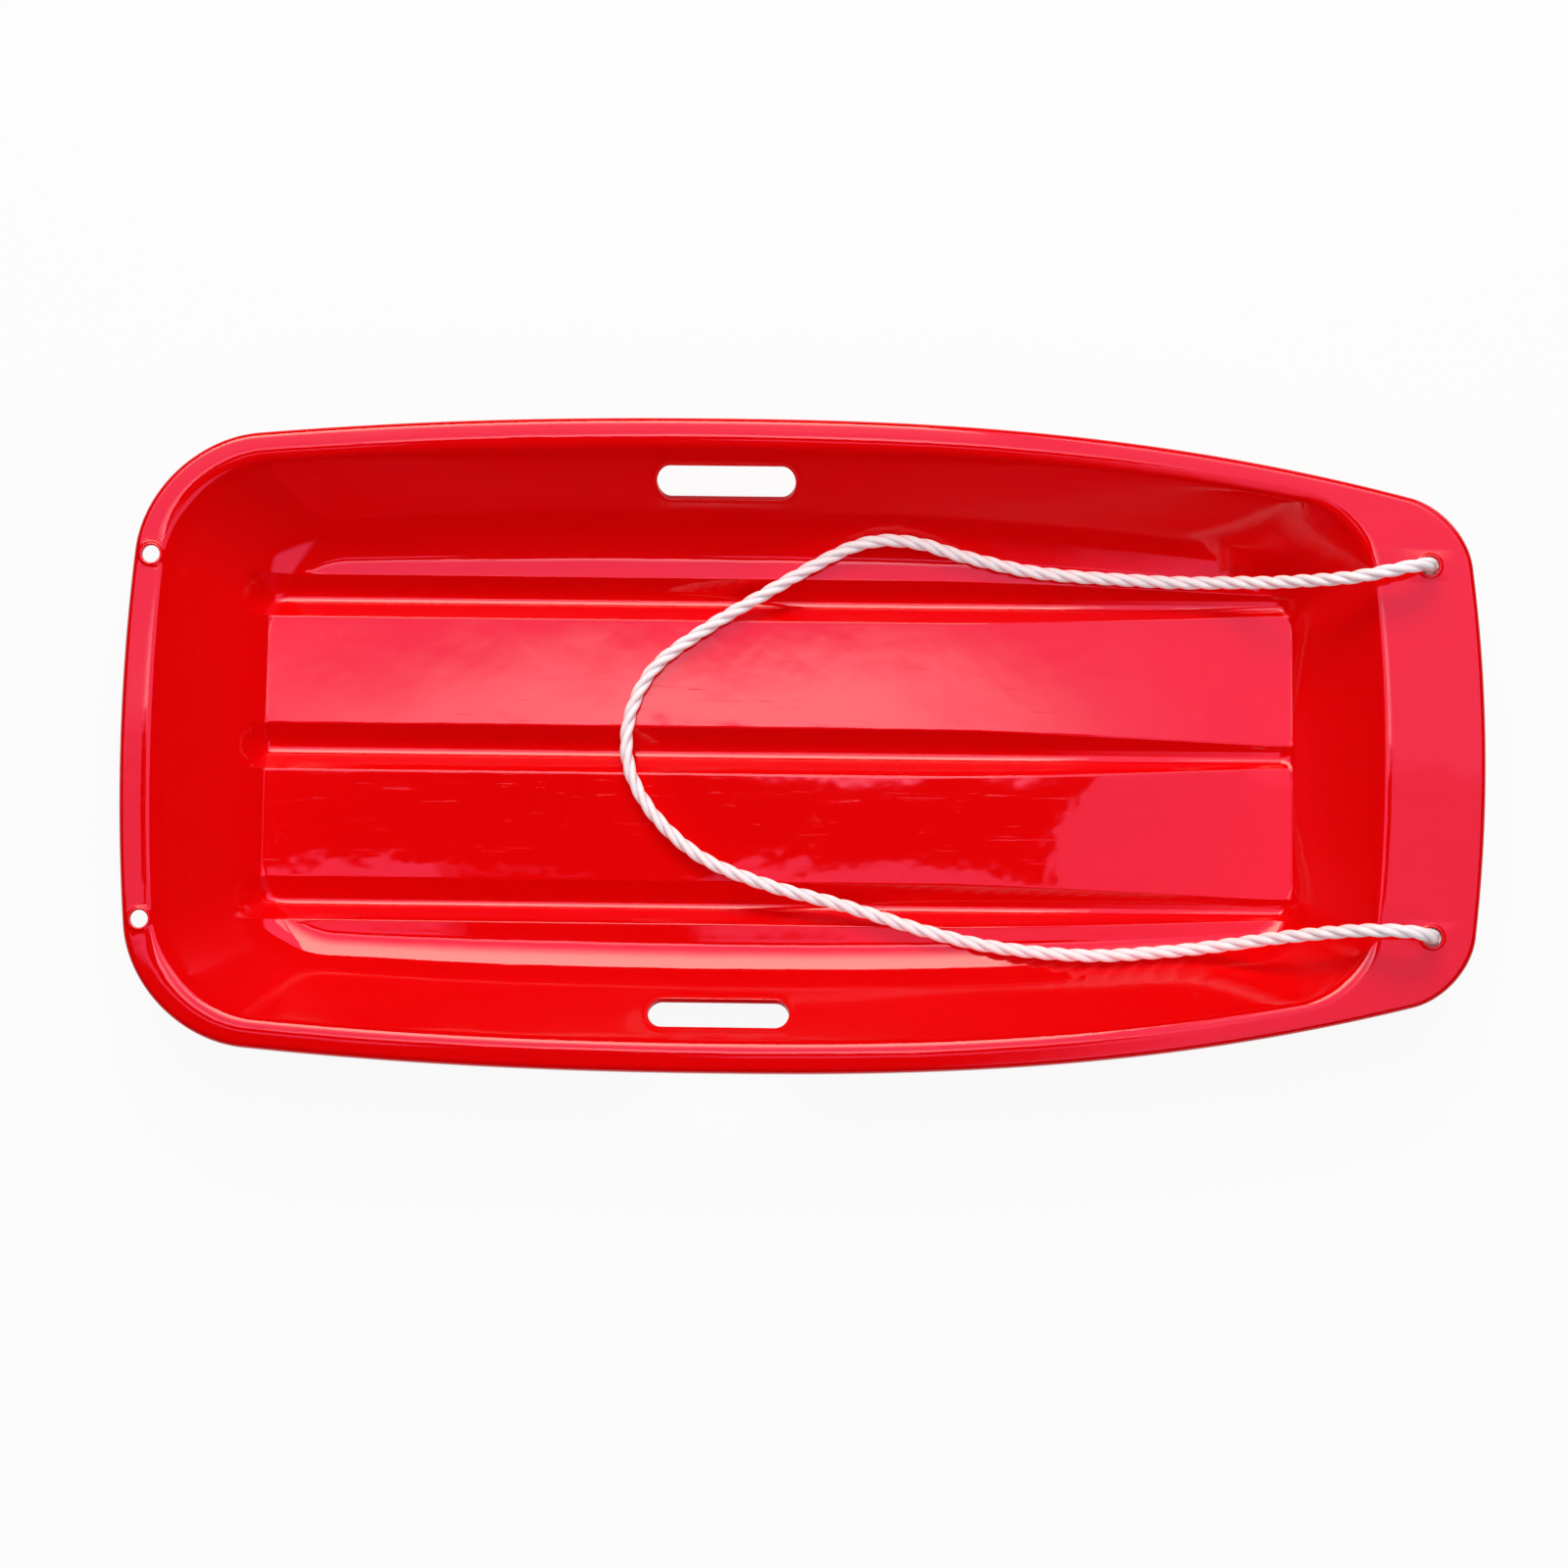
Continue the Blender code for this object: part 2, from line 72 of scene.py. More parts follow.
# Rim, front deck and skirt
SIDE_RIM = 0.0155
REAR_RIM = 0.0160
FRONT_DECK = 0.0618
SKIRT_DROP = 0.014
SKIRT_LEAN = 0.0005
SKIRT_ROUND = 0.0042
SKIRT_TURNS = (75, 56, 38, 19, 0)
RIM_FLAT_STARTS = SKIRT_LEAN + SKIRT_ROUND + 0.001
UNDER_RIM_STARTS = (0.0040, 0.0050)
REAR_RIM_CORNER = 0.0625
FRONT_RIM_CORNER = 0.044
CROWN_WIDTH = 0.006
CROWN_TILT = math.radians(9.8)
CROWN_DROP = 0.000518
CROWN_STARTS = 0.090
CROWN_BLEND = 0.055
WALL_DROP = TUB_DEPTH - CROWN_DROP

# Tub walls
SIDE_RUN = 0.0736
REAR_RUN = 0.0705
FRONT_RUN = 0.0572
RIM_FILLET = 0.0092
FLOOR_FILLET = 0.045
END_FLOOR_FILLET = 0.0018
REAR_FLOOR_CORNER = 0.052
FRONT_FLOOR_CORNER = 0.036
FLOOR_DRAW_SHARE = 0.4
FLOOR_EDGE_MARGIN = 0.0015

# Grooves, which are keels underneath; each pair of numbers is for the centre one and the side ones
GROOVE_PITCH = 0.103
CENTRE_KEEL_FLAT = 0.0148
SIDE_KEEL_FLAT = 0.0118
KEEL_SLOPE = math.radians(43.0)
GROOVE_SLOPES = (math.radians(39.0), math.radians(41.0))
GROOVE_REAR = -0.3427
GROOVE_REAR_FADE = 0.038
GROOVE_FRONT_FADE = 0.0205
FADE_LATE = 0.45
GROOVE_FRONT_DEPTH = 0.0037
KEEL_RISE_END = 0.3144
KEEL_RISE_LENGTH = 0.218
KEEL_RISE_START = KEEL_RISE_END - KEEL_RISE_LENGTH
KEEL_RISE_POWER = 1.3
GROOVE_EDGE_ROUND = 0.0013
GROOVE_BOTTOM_ROUNDS = (0.0090, 0.0076)
GROOVE_MARGIN = 0.0012
KEEL_EDGE_ROUND = 0.0016
KEEL_BOTTOM_ROUND = 0.0040

# Openings
SLOT_LENGTH = 0.093
SLOT_WIDTH = 0.0184
SLOT_AT = (-0.0517, 0.1773)
REAR_HOLE = 0.0116
REAR_HOLE_AT = (-0.4313, 0.1208)
FRONT_HOLE = 0.0123
FRONT_HOLE_AT = (0.4131, 0.1222)

# Lips and cut edges, from outside to the cut: distance from the cut edge, and lift above the plain surface
HOLE_LIP = (
    (0.0030, 0.0),
    (0.0025, 0.00012),
    (0.0020, 0.00045),
    (0.0015, 0.00072),
    (0.0010, 0.0008),
    (0.0005, 0.00074),
    (0.00015, 0.00045),
    (0.0, 0.0),
)
HOLE_UNDER_EDGE = ((0.00014, 0.0), (0.0, 0.00014))
SLOT_LIP = (
    (0.0046, 0.0),
    (0.0038, 0.00008),
    (0.0030, 0.00028),
    (0.0023, 0.00045),
    (0.0016, 0.00048),
    (0.0010, 0.0003),
    (0.0005, 0.0),
    (0.00015, -0.0004),
    (0.0, -0.0009),
)
SLOT_UNDER_EDGE = ((0.0012, 0.0), (0.0004, 0.00010), (0.0001, 0.0004), (0.0, 0.0008))

# Tow rope: three strands laid to the right
ROPE = 0.009
ROPE_LAY = 0.0430
STRAND_RADIUS = 0.00262
STRAND_OUT = ROPE / 2 - STRAND_RADIUS
ROPE_RING_PITCH = 0.0013
ROPE_RING_POINTS = 42
KNOT_TOP = 0.0688
ROPE_FOOT = KNOT_TOP + 0.0003
KNOT_TIGHTNESS = 0.93
KNOT_MIDDLE = KNOT_TOP - 0.0125
KNOT_STEPS = 40
KNOT_CURVE_END = 1.98
KNOT_SPREAD = (0.0027, 0.0025, 0.00036)

# The rope's route from the left knot to the right one, through the places that the part's source gives
ROPE_ROUTE = [
    (0.4131, 0.1222, 0.0730),
    (0.4107, 0.1215, 0.0820),
    (0.4040, 0.1200, 0.0875),
    (0.3950, 0.1182, 0.0895),
    (0.3830, 0.1158, 0.0885),
    (0.3600, 0.1128, 0.0780),
    (0.3150, 0.1140, 0.0465),
    (0.2900, 0.1160, 0.0310),
    (0.2650, 0.1170, 0.0215),
    (0.2390, 0.1180, 0.0182),
    (0.1600, 0.1232, 0.0180),
    (0.1070, 0.1341, 0.0188),
    (0.0800, 0.1415, 0.0210),
    (0.0560, 0.1436, 0.0220),
    (0.0360, 0.1400, 0.0204),
    (0.0138, 0.1297, 0.0182),
    (-0.0260, 0.1065, 0.0180),
    (-0.0650, 0.0825, 0.0180),
    (-0.0980, 0.0570, 0.0180),
    (-0.1130, 0.0310, 0.0180),
    (-0.1176, 0.0030, 0.0180),
    (-0.1115, -0.0230, 0.0180),
    (-0.0935, -0.0495, 0.0180),
    (-0.0640, -0.0735, 0.0180),
    (-0.0230, -0.0900, 0.0180),
    (0.0300, -0.1038, 0.0180),
    (0.0825, -0.1195, 0.0180),
    (0.1220, -0.1288, 0.0182),
    (0.1610, -0.1336, 0.0192),
    (0.2000, -0.1353, 0.0205),
    (0.2400, -0.1326, 0.0203),
    (0.2650, -0.1300, 0.0225),
    (0.2900, -0.1266, 0.0315),
    (0.3150, -0.1230, 0.0465),
    (0.3600, -0.1189, 0.0780),
    (0.3830, -0.1188, 0.0885),
    (0.3950, -0.1195, 0.0895),
    (0.4040, -0.1207, 0.0875),
    (0.4107, -0.1219, 0.0820),
    (0.4131, -0.1222, 0.0730),
]

# How finely the shell is drawn
REAR_STEPS = 24
REAR_CORNER_STEPS = 40
SIDE_STEPS = 84
FRONT_CORNER_STEPS = 32
FRONT_STEPS = 20
RIM_FILLET_STEPS = 8
WALL_STEPS = 8
FLOOR_FILLET_STEPS = 26
CROWN_STEPS = 4
GROOVE_STEPS = (24, 44, 36, 16)
GROOVE_BOTTOM_STEPS = 8
GROOVE_EDGE_STEPS = 7
FEATURE_GAP = 0.0007

# The photograph's camera, fitted to the rope holes, the slots' ends, the grooves and the rim
CAMERA_AT = (0.01534, -0.19981, 1.99005)
CAMERA_RIGHT = (0.99984, 0.01335, -0.01205)
CAMERA_UP = (-0.01221, 0.99589, 0.08977)
CAMERA_AHEAD = (-0.01320, 0.08960, -0.99589)
CAMERA_SENSOR = 36.0
CAMERA_LENS = 67.5

# The studio
FLOOR_HALF = 9.0
FLOOR_LEVEL = -0.0004
STUDIO_HALF = 3.2
STUDIO_HEIGHT = 2.40
DARK_WALL_FOOT = 0.001
CORNER_CARD_ENDS = (2.15, 1.45)
CORNER_CARD_HEIGHTS = (0.14, 0.80)


# ---------------------------------------------------------------- camera


def make_camera():
    """The photograph's own view: about two metres above the sled and five degrees off plumb."""
    data = bpy.data.cameras.new("camera")
    data.sensor_width = CAMERA_SENSOR
    data.lens = CAMERA_LENS
    made = bpy.data.objects.new("camera", data)
    place = Matrix((CAMERA_RIGHT, CAMERA_UP, -Vector(CAMERA_AHEAD))).transposed().to_4x4()
    place.translation = CAMERA_AT
    made.matrix_world = place
    bpy.context.scene.collection.objects.link(made)
    bpy.context.scene.camera = made


# ---------------------------------------------------------------- shader maths


class Socket:
    """A material socket that takes part in arithmetic, where each operator adds its Math node."""

    def __init__(self, tree, socket):
        self.tree = tree
        self.socket = socket

    def maths(self, operation, *others, clamp=False):
        values = [self, *others]
        settings = {"operation": operation, "use_clamp": clamp}
        return self.tree.node("ShaderNodeMath", settings, dict(enumerate(values))).out(0)

    def __add__(self, other):
        return self.maths("ADD", other)

    def __radd__(self, other):
        return self.maths("ADD", other)

    def __sub__(self, other):
        return self.maths("SUBTRACT", other)

    def __rsub__(self, other):
        return Socket.maths(self.tree.number(other), "SUBTRACT", self)

    def __mul__(self, other):
        return self.maths("MULTIPLY", other)

    def __rmul__(self, other):
        return self.maths("MULTIPLY", other)

    def clamped(self):
        return self.maths("ADD", 0.0, clamp=True)

    def step_up(self, low, high):
        """A smooth 0 to 1 as the value goes from low to high."""
        settings = {"interpolation_type": "SMOOTHSTEP"}
        inputs = {"Value": self, "From Min": low, "From Max": high}
        return self.tree.node("ShaderNodeMapRange", settings, inputs).out(0)


class Node:
    """A material node whose outputs take part in arithmetic."""

    def __init__(self, tree, node):
        self.tree = tree
        self.node = node

    def out(self, name):
        return Socket(self.tree, self.node.outputs[name])


class Tree:
    """Builds one node tree."""

    def __init__(self, owner):
        owner.use_nodes = True
        self.nodes = owner.node_tree.nodes
        self.links = owner.node_tree.links
        self.nodes.clear()

    def node(self, kind, settings=None, inputs=None):
        made = self.nodes.new(kind)
        for name, value in (settings or {}).items():
            setattr(made, name, value)
        for name, value in (inputs or {}).items():
            if isinstance(value, Socket):
                self.links.new(value.socket, made.inputs[name])
            else:
                made.inputs[name].default_value = value
        return Node(self, made)

    def number(self, value):
        made = self.nodes.new("ShaderNodeValue")
        made.outputs[0].default_value = value
        return Socket(self, made.outputs[0])

    def place(self):
        return self.node("ShaderNodeTexCoord").out("Object")

    def named(self, name):
        return self.node("ShaderNodeAttribute", {"attribute_name": name}).out("Fac")

    def scaled(self, vector, scale):
        settings = {"operation": "MULTIPLY"}
        return self.node("ShaderNodeVectorMath", settings, {0: vector, 1: scale}).out("Vector")

    def noise(self, vector, scale, detail=2.0, rough=0.5, warp=0.0):
        inputs = {"Vector": vector, "Scale": scale, "Detail": detail, "Roughness": rough, "Distortion": warp}
        return self.node("ShaderNodeTexNoise", None, inputs).out("Fac")

    def mix(self, amount, first, second):
        """A colour between two colours."""
        settings = {"data_type": "RGBA", "clamp_factor": True}
        made = self.node("ShaderNodeMix", settings)
        inputs = made.node.inputs
        for socket, value in ((inputs[0], amount), (inputs[6], first), (inputs[7], second)):
            if isinstance(value, Socket):
                self.links.new(value.socket, socket)
            elif isinstance(value, tuple):
                socket.default_value = (*value, 1.0)
            else:
                socket.default_value = value
        return Socket(self, made.node.outputs[2])

    def bump(self, height, distance, strength=1.0, normal=None):
        inputs = {"Height": height, "Distance": distance, "Strength": strength}
        if normal:
            inputs["Normal"] = normal
        return self.node("ShaderNodeBump", None, inputs).out("Normal")

    def glow(self, colour, strength=1.0, kind="ShaderNodeEmission"):
        return self.node(kind, None, {"Color": (*colour, 1.0), "Strength": strength}).out(0)

    def finish(self, shader, kind="ShaderNodeOutputMaterial"):
        self.node(kind, None, {"Surface": shader})


# ---------------------------------------------------------------- finishes


def red_polyethylene():
    """Glossy moulded polyethylene: even red, a little mould waviness, fine handling scuffs."""
    skin = bpy.data.materials.new("red_polyethylene")
    tree = Tree(skin)
    place = tree.place()
    waves = tree.noise(place, 9.0, 1.0)
    ripple = tree.noise(place, 34.0, 2.0)
    flow = tree.noise(tree.scaled(place, (0.35, 1.0, 1.0)), 22.0, 3.0, 0.6, 0.4)
    grain = tree.noise(place, 900.0, 2.0, 0.6)
    cloud = tree.noise(place, 5.5, 3.0, 0.55)
    long_scratches = tree.noise(tree.scaled(place, (6.0, 240.0, 60.0)), 3.0, 4.0, 0.7, 0.3)
    cross_scratches = tree.noise(tree.scaled(place, (260.0, 9.0, 60.0)), 3.0, 4.0, 0.7, 0.3)
    scratches = long_scratches.step_up(0.64, 0.74) + 0.6 * cross_scratches.step_up(0.66, 0.76)
    scuffs = tree.noise(place, 60.0, 5.0, 0.75).step_up(0.60, 0.78) * cloud.step_up(0.50, 0.66)
    height = tree.node("ShaderNodeSeparateXYZ", None, {0: place}).out("Z")
    underside = 1.0 - height.step_up(0.0005, 0.0035)
    wear = (0.55 * scuffs + 0.5 * underside * (0.4 + scratches)).clamped()
    walls = height.step_up(0.020, 0.030) * (1.0 - height.step_up(0.060, 0.066))
    tone = tree.mix(flow, (0.725, 0.0007, 0.0011), (0.770, 0.0010, 0.0020))
    colour = tree.mix(0.16 * wear, tone, (0.90, 0.18, 0.16))
    roughness = 0.018 + 0.014 * cloud + 0.012 * flow + 0.10 * wear
    roughness = roughness + 0.03 * scratches * cloud + 0.11 * walls
    slow = tree.bump(waves + 0.16 * ripple, 0.0009)
    fine = tree.bump(0.0016 * grain - 0.020 * scratches * cloud - 0.05 * wear * grain, 0.0010, 1.0, slow)
    shader = tree.node(
        "ShaderNodeBsdfPrincipled",
        None,
        {
            "Base Color": colour,
            "Roughness": roughness,
            "Normal": fine,
            "IOR": 1.46,
            "Specular Tint": (1.0, 0.66, 0.78, 1.0),
        },
    ).out("BSDF")
    tree.finish(shader)
    return skin


def white_polypropylene():
    """Soft white rope yarn: fine fibres along the rope, and painted shade, a cool grey, in the valleys
    between strands.
    """
    skin = bpy.data.materials.new("white_polypropylene_yarn")
    tree = Tree(skin)
    place = tree.place()
    along = tree.named("along")
    around = tree.named("around")
    valley = tree.named("valley")
    yarn_place = tree.node("ShaderNodeCombineXYZ", None, {"X": along * 26.0, "Y": around, "Z": 0.0}).out(0)
    fibres = tree.noise(tree.scaled(yarn_place, (1.0, 9.0, 1.0)), 2.2, 3.0, 0.65, 0.25)
    yarns = tree.noise(tree.scaled(yarn_place, (0.35, 3.2, 1.0)), 2.0, 1.0)
    fuzz = tree.noise(place, 1500.0, 3.0, 0.7)
    dirt = tree.noise(place, 26.0, 3.0, 0.6)
    # Painted shade: the valleys between the strands are darkened towards the cool grey below, and the fibres
    # add a little darker tone of their own.
    shade = (0.82 * valley.step_up(0.10, 0.95) + 0.16 * (1.0 - fibres)).clamped()
    clean = tree.mix(dirt.step_up(0.45, 0.75), (0.985, 0.975, 0.985), (0.955, 0.940, 0.955))
    colour = tree.mix(shade, clean, (0.76, 0.66, 0.75))
    roughness = 0.52 + 0.22 * fibres + 0.10 * fuzz
    relief = 0.55 * fibres + 0.45 * yarns + 0.10 * fuzz
    normal = tree.bump(relief, 0.00055)
    shader = tree.node(
        "ShaderNodeBsdfPrincipled",
        None,
        {"Base Color": colour, "Roughness": roughness, "Normal": normal, "IOR": 1.49},
    ).out("BSDF")
    tree.finish(shader)
    return skin


# ---------------------------------------------------------------- shell: plan and profile


def draw_in(x):
    """How far the outer side has drawn in at x from its widest place."""
    if x < WIDEST_AT:
        return REAR_DRAW_IN * ((WIDEST_AT - x) / (WIDEST_AT - REAR_END)) ** REAR_DRAW_POWER
    return FRONT_DRAW_IN * ((x - WIDEST_AT) / (FRONT_END - WIDEST_AT)) ** FRONT_DRAW_POWER


def blend(start, end, share):
    return start + (end - start) * share


def rounded_corner(start, start_way, end, end_way, steps):
    """Points of a rounded corner that leaves and meets its two sides smoothly."""
    cross = start_way.x * end_way.y - start_way.y * end_way.x
    between = end - start
    along = (between.x * end_way.y - between.y * end_way.x) / cross
    tip = start + start_way * along
    handles = start.lerp(tip, QUARTER_CIRCLE_HANDLE), end.lerp(tip, QUARTER_CIRCLE_HANDLE)
    return [Vector(p[:2]) for p in interpolate_bezier(start, *handles, end, steps + 1)]


class Outline:
    """One level line of the shell in plan: a bowed four-sided shape with rounded corners."""

    def __init__(self, side, rear, front, rear_corner, front_corner, side_share=1.0, bow_share=1.0):
        self.side = side
        self.rear = rear
        self.front = front
        self.rear_corner = rear_corner
        self.front_corner = front_corner
        self.side_share = side_share
        self.bow_share = bow_share

    def half_width(self, x):
        return WIDTH / 2 - self.side - self.side_share * draw_in(x)

    def rear_x(self, y):
        return REAR_END + self.rear + self.bow_share * y * y / (2 * REAR_BOW_RADIUS)

    def front_x(self, y):
        return FRONT_END - self.front - self.bow_share * y * y / (2 * FRONT_BOW_RADIUS)

    def tip(self, end_x):
        y = WIDTH / 2
        for _ in range(20):
            y = self.half_width(end_x(y))
        return Vector((end_x(y), y))

    def left_half(self):
        """Points from the middle of the rear, along the left side, to the middle of the front."""
        step = 1e-5
        rear_tip = self.tip(self.rear_x)
        front_tip = self.tip(self.front_x)
        rear_y = rear_tip.y - self.rear_corner
        front_y = front_tip.y - self.front_corner
        rear_side_x = rear_tip.x + self.rear_corner
        front_side_x = front_tip.x - self.front_corner

        def on_rear(y):
            return Vector((self.rear_x(y), y))

        def on_front(y):
            return Vector((self.front_x(y), y))

        def on_side(x):
            return Vector((x, self.half_width(x)))

        def way(curve, at):
            return (curve(at + step) - curve(at - step)).normalized()

        points = [on_rear(rear_y * i / REAR_STEPS) for i in range(REAR_STEPS)]
        points += rounded_corner(
            on_rear(rear_y),
            way(on_rear, rear_y),
            on_side(rear_side_x),
            way(on_side, rear_side_x),
            REAR_CORNER_STEPS,
        )
        run = front_side_x - rear_side_x
        points += [on_side(rear_side_x + run * i / SIDE_STEPS) for i in range(1, SIDE_STEPS)]
        points += rounded_corner(
            on_side(front_side_x),
            way(on_side, front_side_x),
            on_front(front_y),
            way(on_front, front_y),
            FRONT_CORNER_STEPS,
        )
        points += [on_front(front_y * (1 - i / FRONT_STEPS)) for i in range(1, FRONT_STEPS + 1)]
        return points

    def ring(self, z):
        half = self.left_half()
        right = [Vector((p.x, -p.y)) for p in reversed(half[1:-1])]
        return [(p.x, p.y, z) for p in half + right]


def rim_ring(inset, z):
    """A level ring a given distance inside the shell's outer edge."""
    return Outline(inset, inset, inset, REAR_CORNER - inset, FRONT_CORNER).ring(z)


class Wall:
    """The tub wall's upright profile on one side: rim fillet, straight slope, floor fillet."""

    def __init__(self, run, foot, depth):
        whole = RIM_FILLET + foot
        reach = math.hypot(run, WALL_DROP - whole)
        self.run = run
        self.slope = math.atan2(WALL_DROP - whole, run) + math.asin(whole / reach)
        self.rim_round = RIM_FILLET - depth
        self.foot_round = foot + depth

    def run_at(self, drop):
        """How far inward the wall has run at a drop below its rim."""
        turned = 1 - math.cos(self.slope)
        top = self.rim_round * turned
        if drop < top:
            return self.rim_round * math.sin(math.acos(1 - drop / self.rim_round))
        left = max(WALL_DROP - drop, 0.0)
        if left < self.foot_round * turned:
            return self.run - self.foot_round * math.sin(math.acos(1 - left / self.foot_round))
        return self.rim_round * math.sin(self.slope) + (drop - top) / math.tan(self.slope)

    def drops(self):
        """Drops at which rings are laid, close together where the profile turns."""
        found = []
        for i in range(RIM_FILLET_STEPS + 1):
            turn = blend(CROWN_TILT, self.slope, i / RIM_FILLET_STEPS)
            found.append(self.rim_round * (1 - math.cos(turn)))
        foot = WALL_DROP - self.foot_round * (1 - math.cos(self.slope))
        for i in range(1, WALL_STEPS):
            found.append(blend(found[RIM_FILLET_STEPS], foot, i / WALL_STEPS))
        for i in range(FLOOR_FILLET_STEPS + 1):
            turn = self.slope * (1 - i / FLOOR_FILLET_STEPS)
            found.append(WALL_DROP - self.foot_round * (1 - math.cos(turn)))
        return found


def wall_ring(walls, drop, z, extra=0.0):
    """A level ring of the tub's wall at a drop below its rim."""
    side, rear, front = [wall.run_at(drop) for wall in walls]
    share = side / SIDE_RUN
    return Outline(
        SIDE_RIM + side + extra,
        REAR_RIM + rear + extra,
        FRONT_DECK + front + extra,
        blend(REAR_RIM_CORNER, REAR_FLOOR_CORNER, share) - extra,
        blend(FRONT_RIM_CORNER, FRONT_FLOOR_CORNER, share) - extra,
        blend(1.0, FLOOR_DRAW_SHARE, share),
        blend(1.0, 0.0, share),
    ).ring(z)


def wall_rings(depth):
    """The rings of the rim's inner part, the wall and the floor's edge, for a skin at a depth."""
    runs = ((SIDE_RUN, FLOOR_FILLET), (REAR_RUN, END_FLOOR_FILLET), (FRONT_RUN, END_FLOOR_FILLET))
    walls = [Wall(run, foot, depth) for run, foot in runs]
    round_run = walls[0].rim_round * math.sin(CROWN_TILT)
    round_drop = walls[0].rim_round * (1 - math.cos(CROWN_TILT))
    rings = []
    for i in range(CROWN_STEPS):
        share = i / CROWN_STEPS
        out = -CROWN_WIDTH + share * (CROWN_WIDTH + round_run)
        rings.append(wall_ring(walls, 0.0, RIM_TOP - depth - share**2 * (CROWN_DROP + round_drop), out))
    top = RIM_TOP - depth - CROWN_DROP
    rings += [wall_ring(walls, drop, top - drop) for drop in walls[0].drops()]
    rings.append(wall_ring(walls, WALL_DROP, top - WALL_DROP, FLOOR_EDGE_MARGIN))
    return [[flat_across_ends(*point, top) for point in ring] for ring in rings]


def flat_across_ends(x, y, z, top):
    """Lifts the crowned rim's inner part back up where it crosses the sled's two ends."""
    share = min(max((abs(y) - CROWN_STARTS) / CROWN_BLEND, 0.0), 1.0)
    crown = share * share * (3 - 2 * share)
    height = min(max(1 - (top - z) / WALL_DROP, 0.0), 1.0)
    lift = CROWN_DROP if z <= top else top + CROWN_DROP - z
    return x, y, z + lift * height * (1 - crown)


# ---------------------------------------------------------------- shell: features


def stadium(at, length, width, out, end_steps=22, side_steps=30):
    """The outline of a round-ended slot, grown outward by a distance."""
    radius = width / 2 + out
    straight = length / 2 - width / 2
    points = []
    for sign, first in ((1, -math.pi / 2), (-1, math.pi / 2)):
        middle = at[0] + sign * straight
        for i in range(end_steps):
            turn = first + math.pi * i / end_steps
            points.append((middle + radius * math.cos(turn), at[1] + radius * math.sin(turn)))
        for i in range(side_steps):
            x = sign * straight * (1 - 2 * i / side_steps)
            points.append((at[0] + x, at[1] + sign * radius))
    return points


def circle(at, radius, steps=48):
    turns = [2 * math.pi * i / steps for i in range(steps)]
    return [(at[0] + radius * math.cos(turn), at[1] + radius * math.sin(turn)) for turn in turns]


def groove_section(depth, flat, slope, edge_round, foot_round):
    """Offsets from a groove's middle and drops below its edges, from the middle out to one side."""
    half = math.tan(slope / 2)
    fit = min(1.0, 0.95 * depth / math.sin(slope) / ((edge_round + foot_round) * half))
    edge_round *= fit
    foot_round *= fit
    foot = flat / 2
    head = foot + depth / math.tan(slope)
    start = foot - foot_round * half
    section = [(0.0, depth), (start * 0.5, depth)] if start > 0.0001 else []
    for i in range(GROOVE_BOTTOM_STEPS + 1):
        turn = slope * i / GROOVE_BOTTOM_STEPS
        section.append((start + foot_round * math.sin(turn), depth - foot_round * (1 - math.cos(turn))))
    end = head + edge_round * half
    low = (end - edge_round * math.sin(slope), edge_round * (1 - math.cos(slope)))
    for share in (0.33, 0.67):
        section.append((blend(section[-1][0], low[0], share), blend(section[-1][1], low[1], share)))
    for i in range(GROOVE_EDGE_STEPS + 1):
        turn = slope * (1 - i / GROOVE_EDGE_STEPS)
        section.append((end - edge_round * math.sin(turn), edge_round * (1 - math.cos(turn))))
    section.append((end + GROOVE_MARGIN, 0.0))
    return [(max(out, 0.0), drop) for out, drop in section]


def groove_depth(x):
    """Depth of a groove at x: level, then shallower to the front."""
    share = min(max((x - KEEL_RISE_START) / KEEL_RISE_LENGTH, 0.0), 1.0)
    return GROOVE_DEPTH - (GROOVE_DEPTH - GROOVE_FRONT_DEPTH) * share**KEEL_RISE_POWER


def groove_fade(x):
    """How much of its depth a groove keeps at x, where its ends run out into the walls' feet."""
    if x < GROOVE_REAR:
        share = (GROOVE_REAR - x) / GROOVE_REAR_FADE
    else:
        share = (x - KEEL_RISE_END) / GROOVE_FRONT_FADE
    share = min(max((share - FADE_LATE) / (1 - FADE_LATE), 0.0), 1.0)
    return 0.5 + 0.5 * math.cos(math.pi * share)


def groove_grid(y, flat, slope, edge_round, foot_round):
    """Rows across a groove at stations along it, as (x, y, drop)."""
    rear, level, rise, front = GROOVE_STEPS
    stations = [GROOVE_REAR - GROOVE_REAR_FADE * (1 - i / rear) for i in range(rear)]
    stations += [blend(GROOVE_REAR, KEEL_RISE_START, i / level) for i in range(level)]
    stations += [blend(KEEL_RISE_START, KEEL_RISE_END, i / rise) for i in range(rise)]
    stations += [KEEL_RISE_END + GROOVE_FRONT_FADE * i / front for i in range(front + 1)]
    with_flat = len(groove_section(GROOVE_DEPTH, flat, slope, edge_round, foot_round))
    grid = []
    for x in stations:
        depth = groove_depth(x)
        half = groove_section(depth, flat, slope, edge_round, foot_round)
        if len(half) > with_flat:
            half = half[2:]
        elif len(half) < with_flat:
            half = [(0.0, depth), (half[0][0] * 0.5, depth)] + half
        half = [(out, drop * groove_fade(x)) for out, drop in half]
        right = [(x, y - out, drop) for out, drop in reversed(half[1:])]
        left = [(x, y + out, drop) for out, drop in half]
        grid.append(right + left)
    return grid


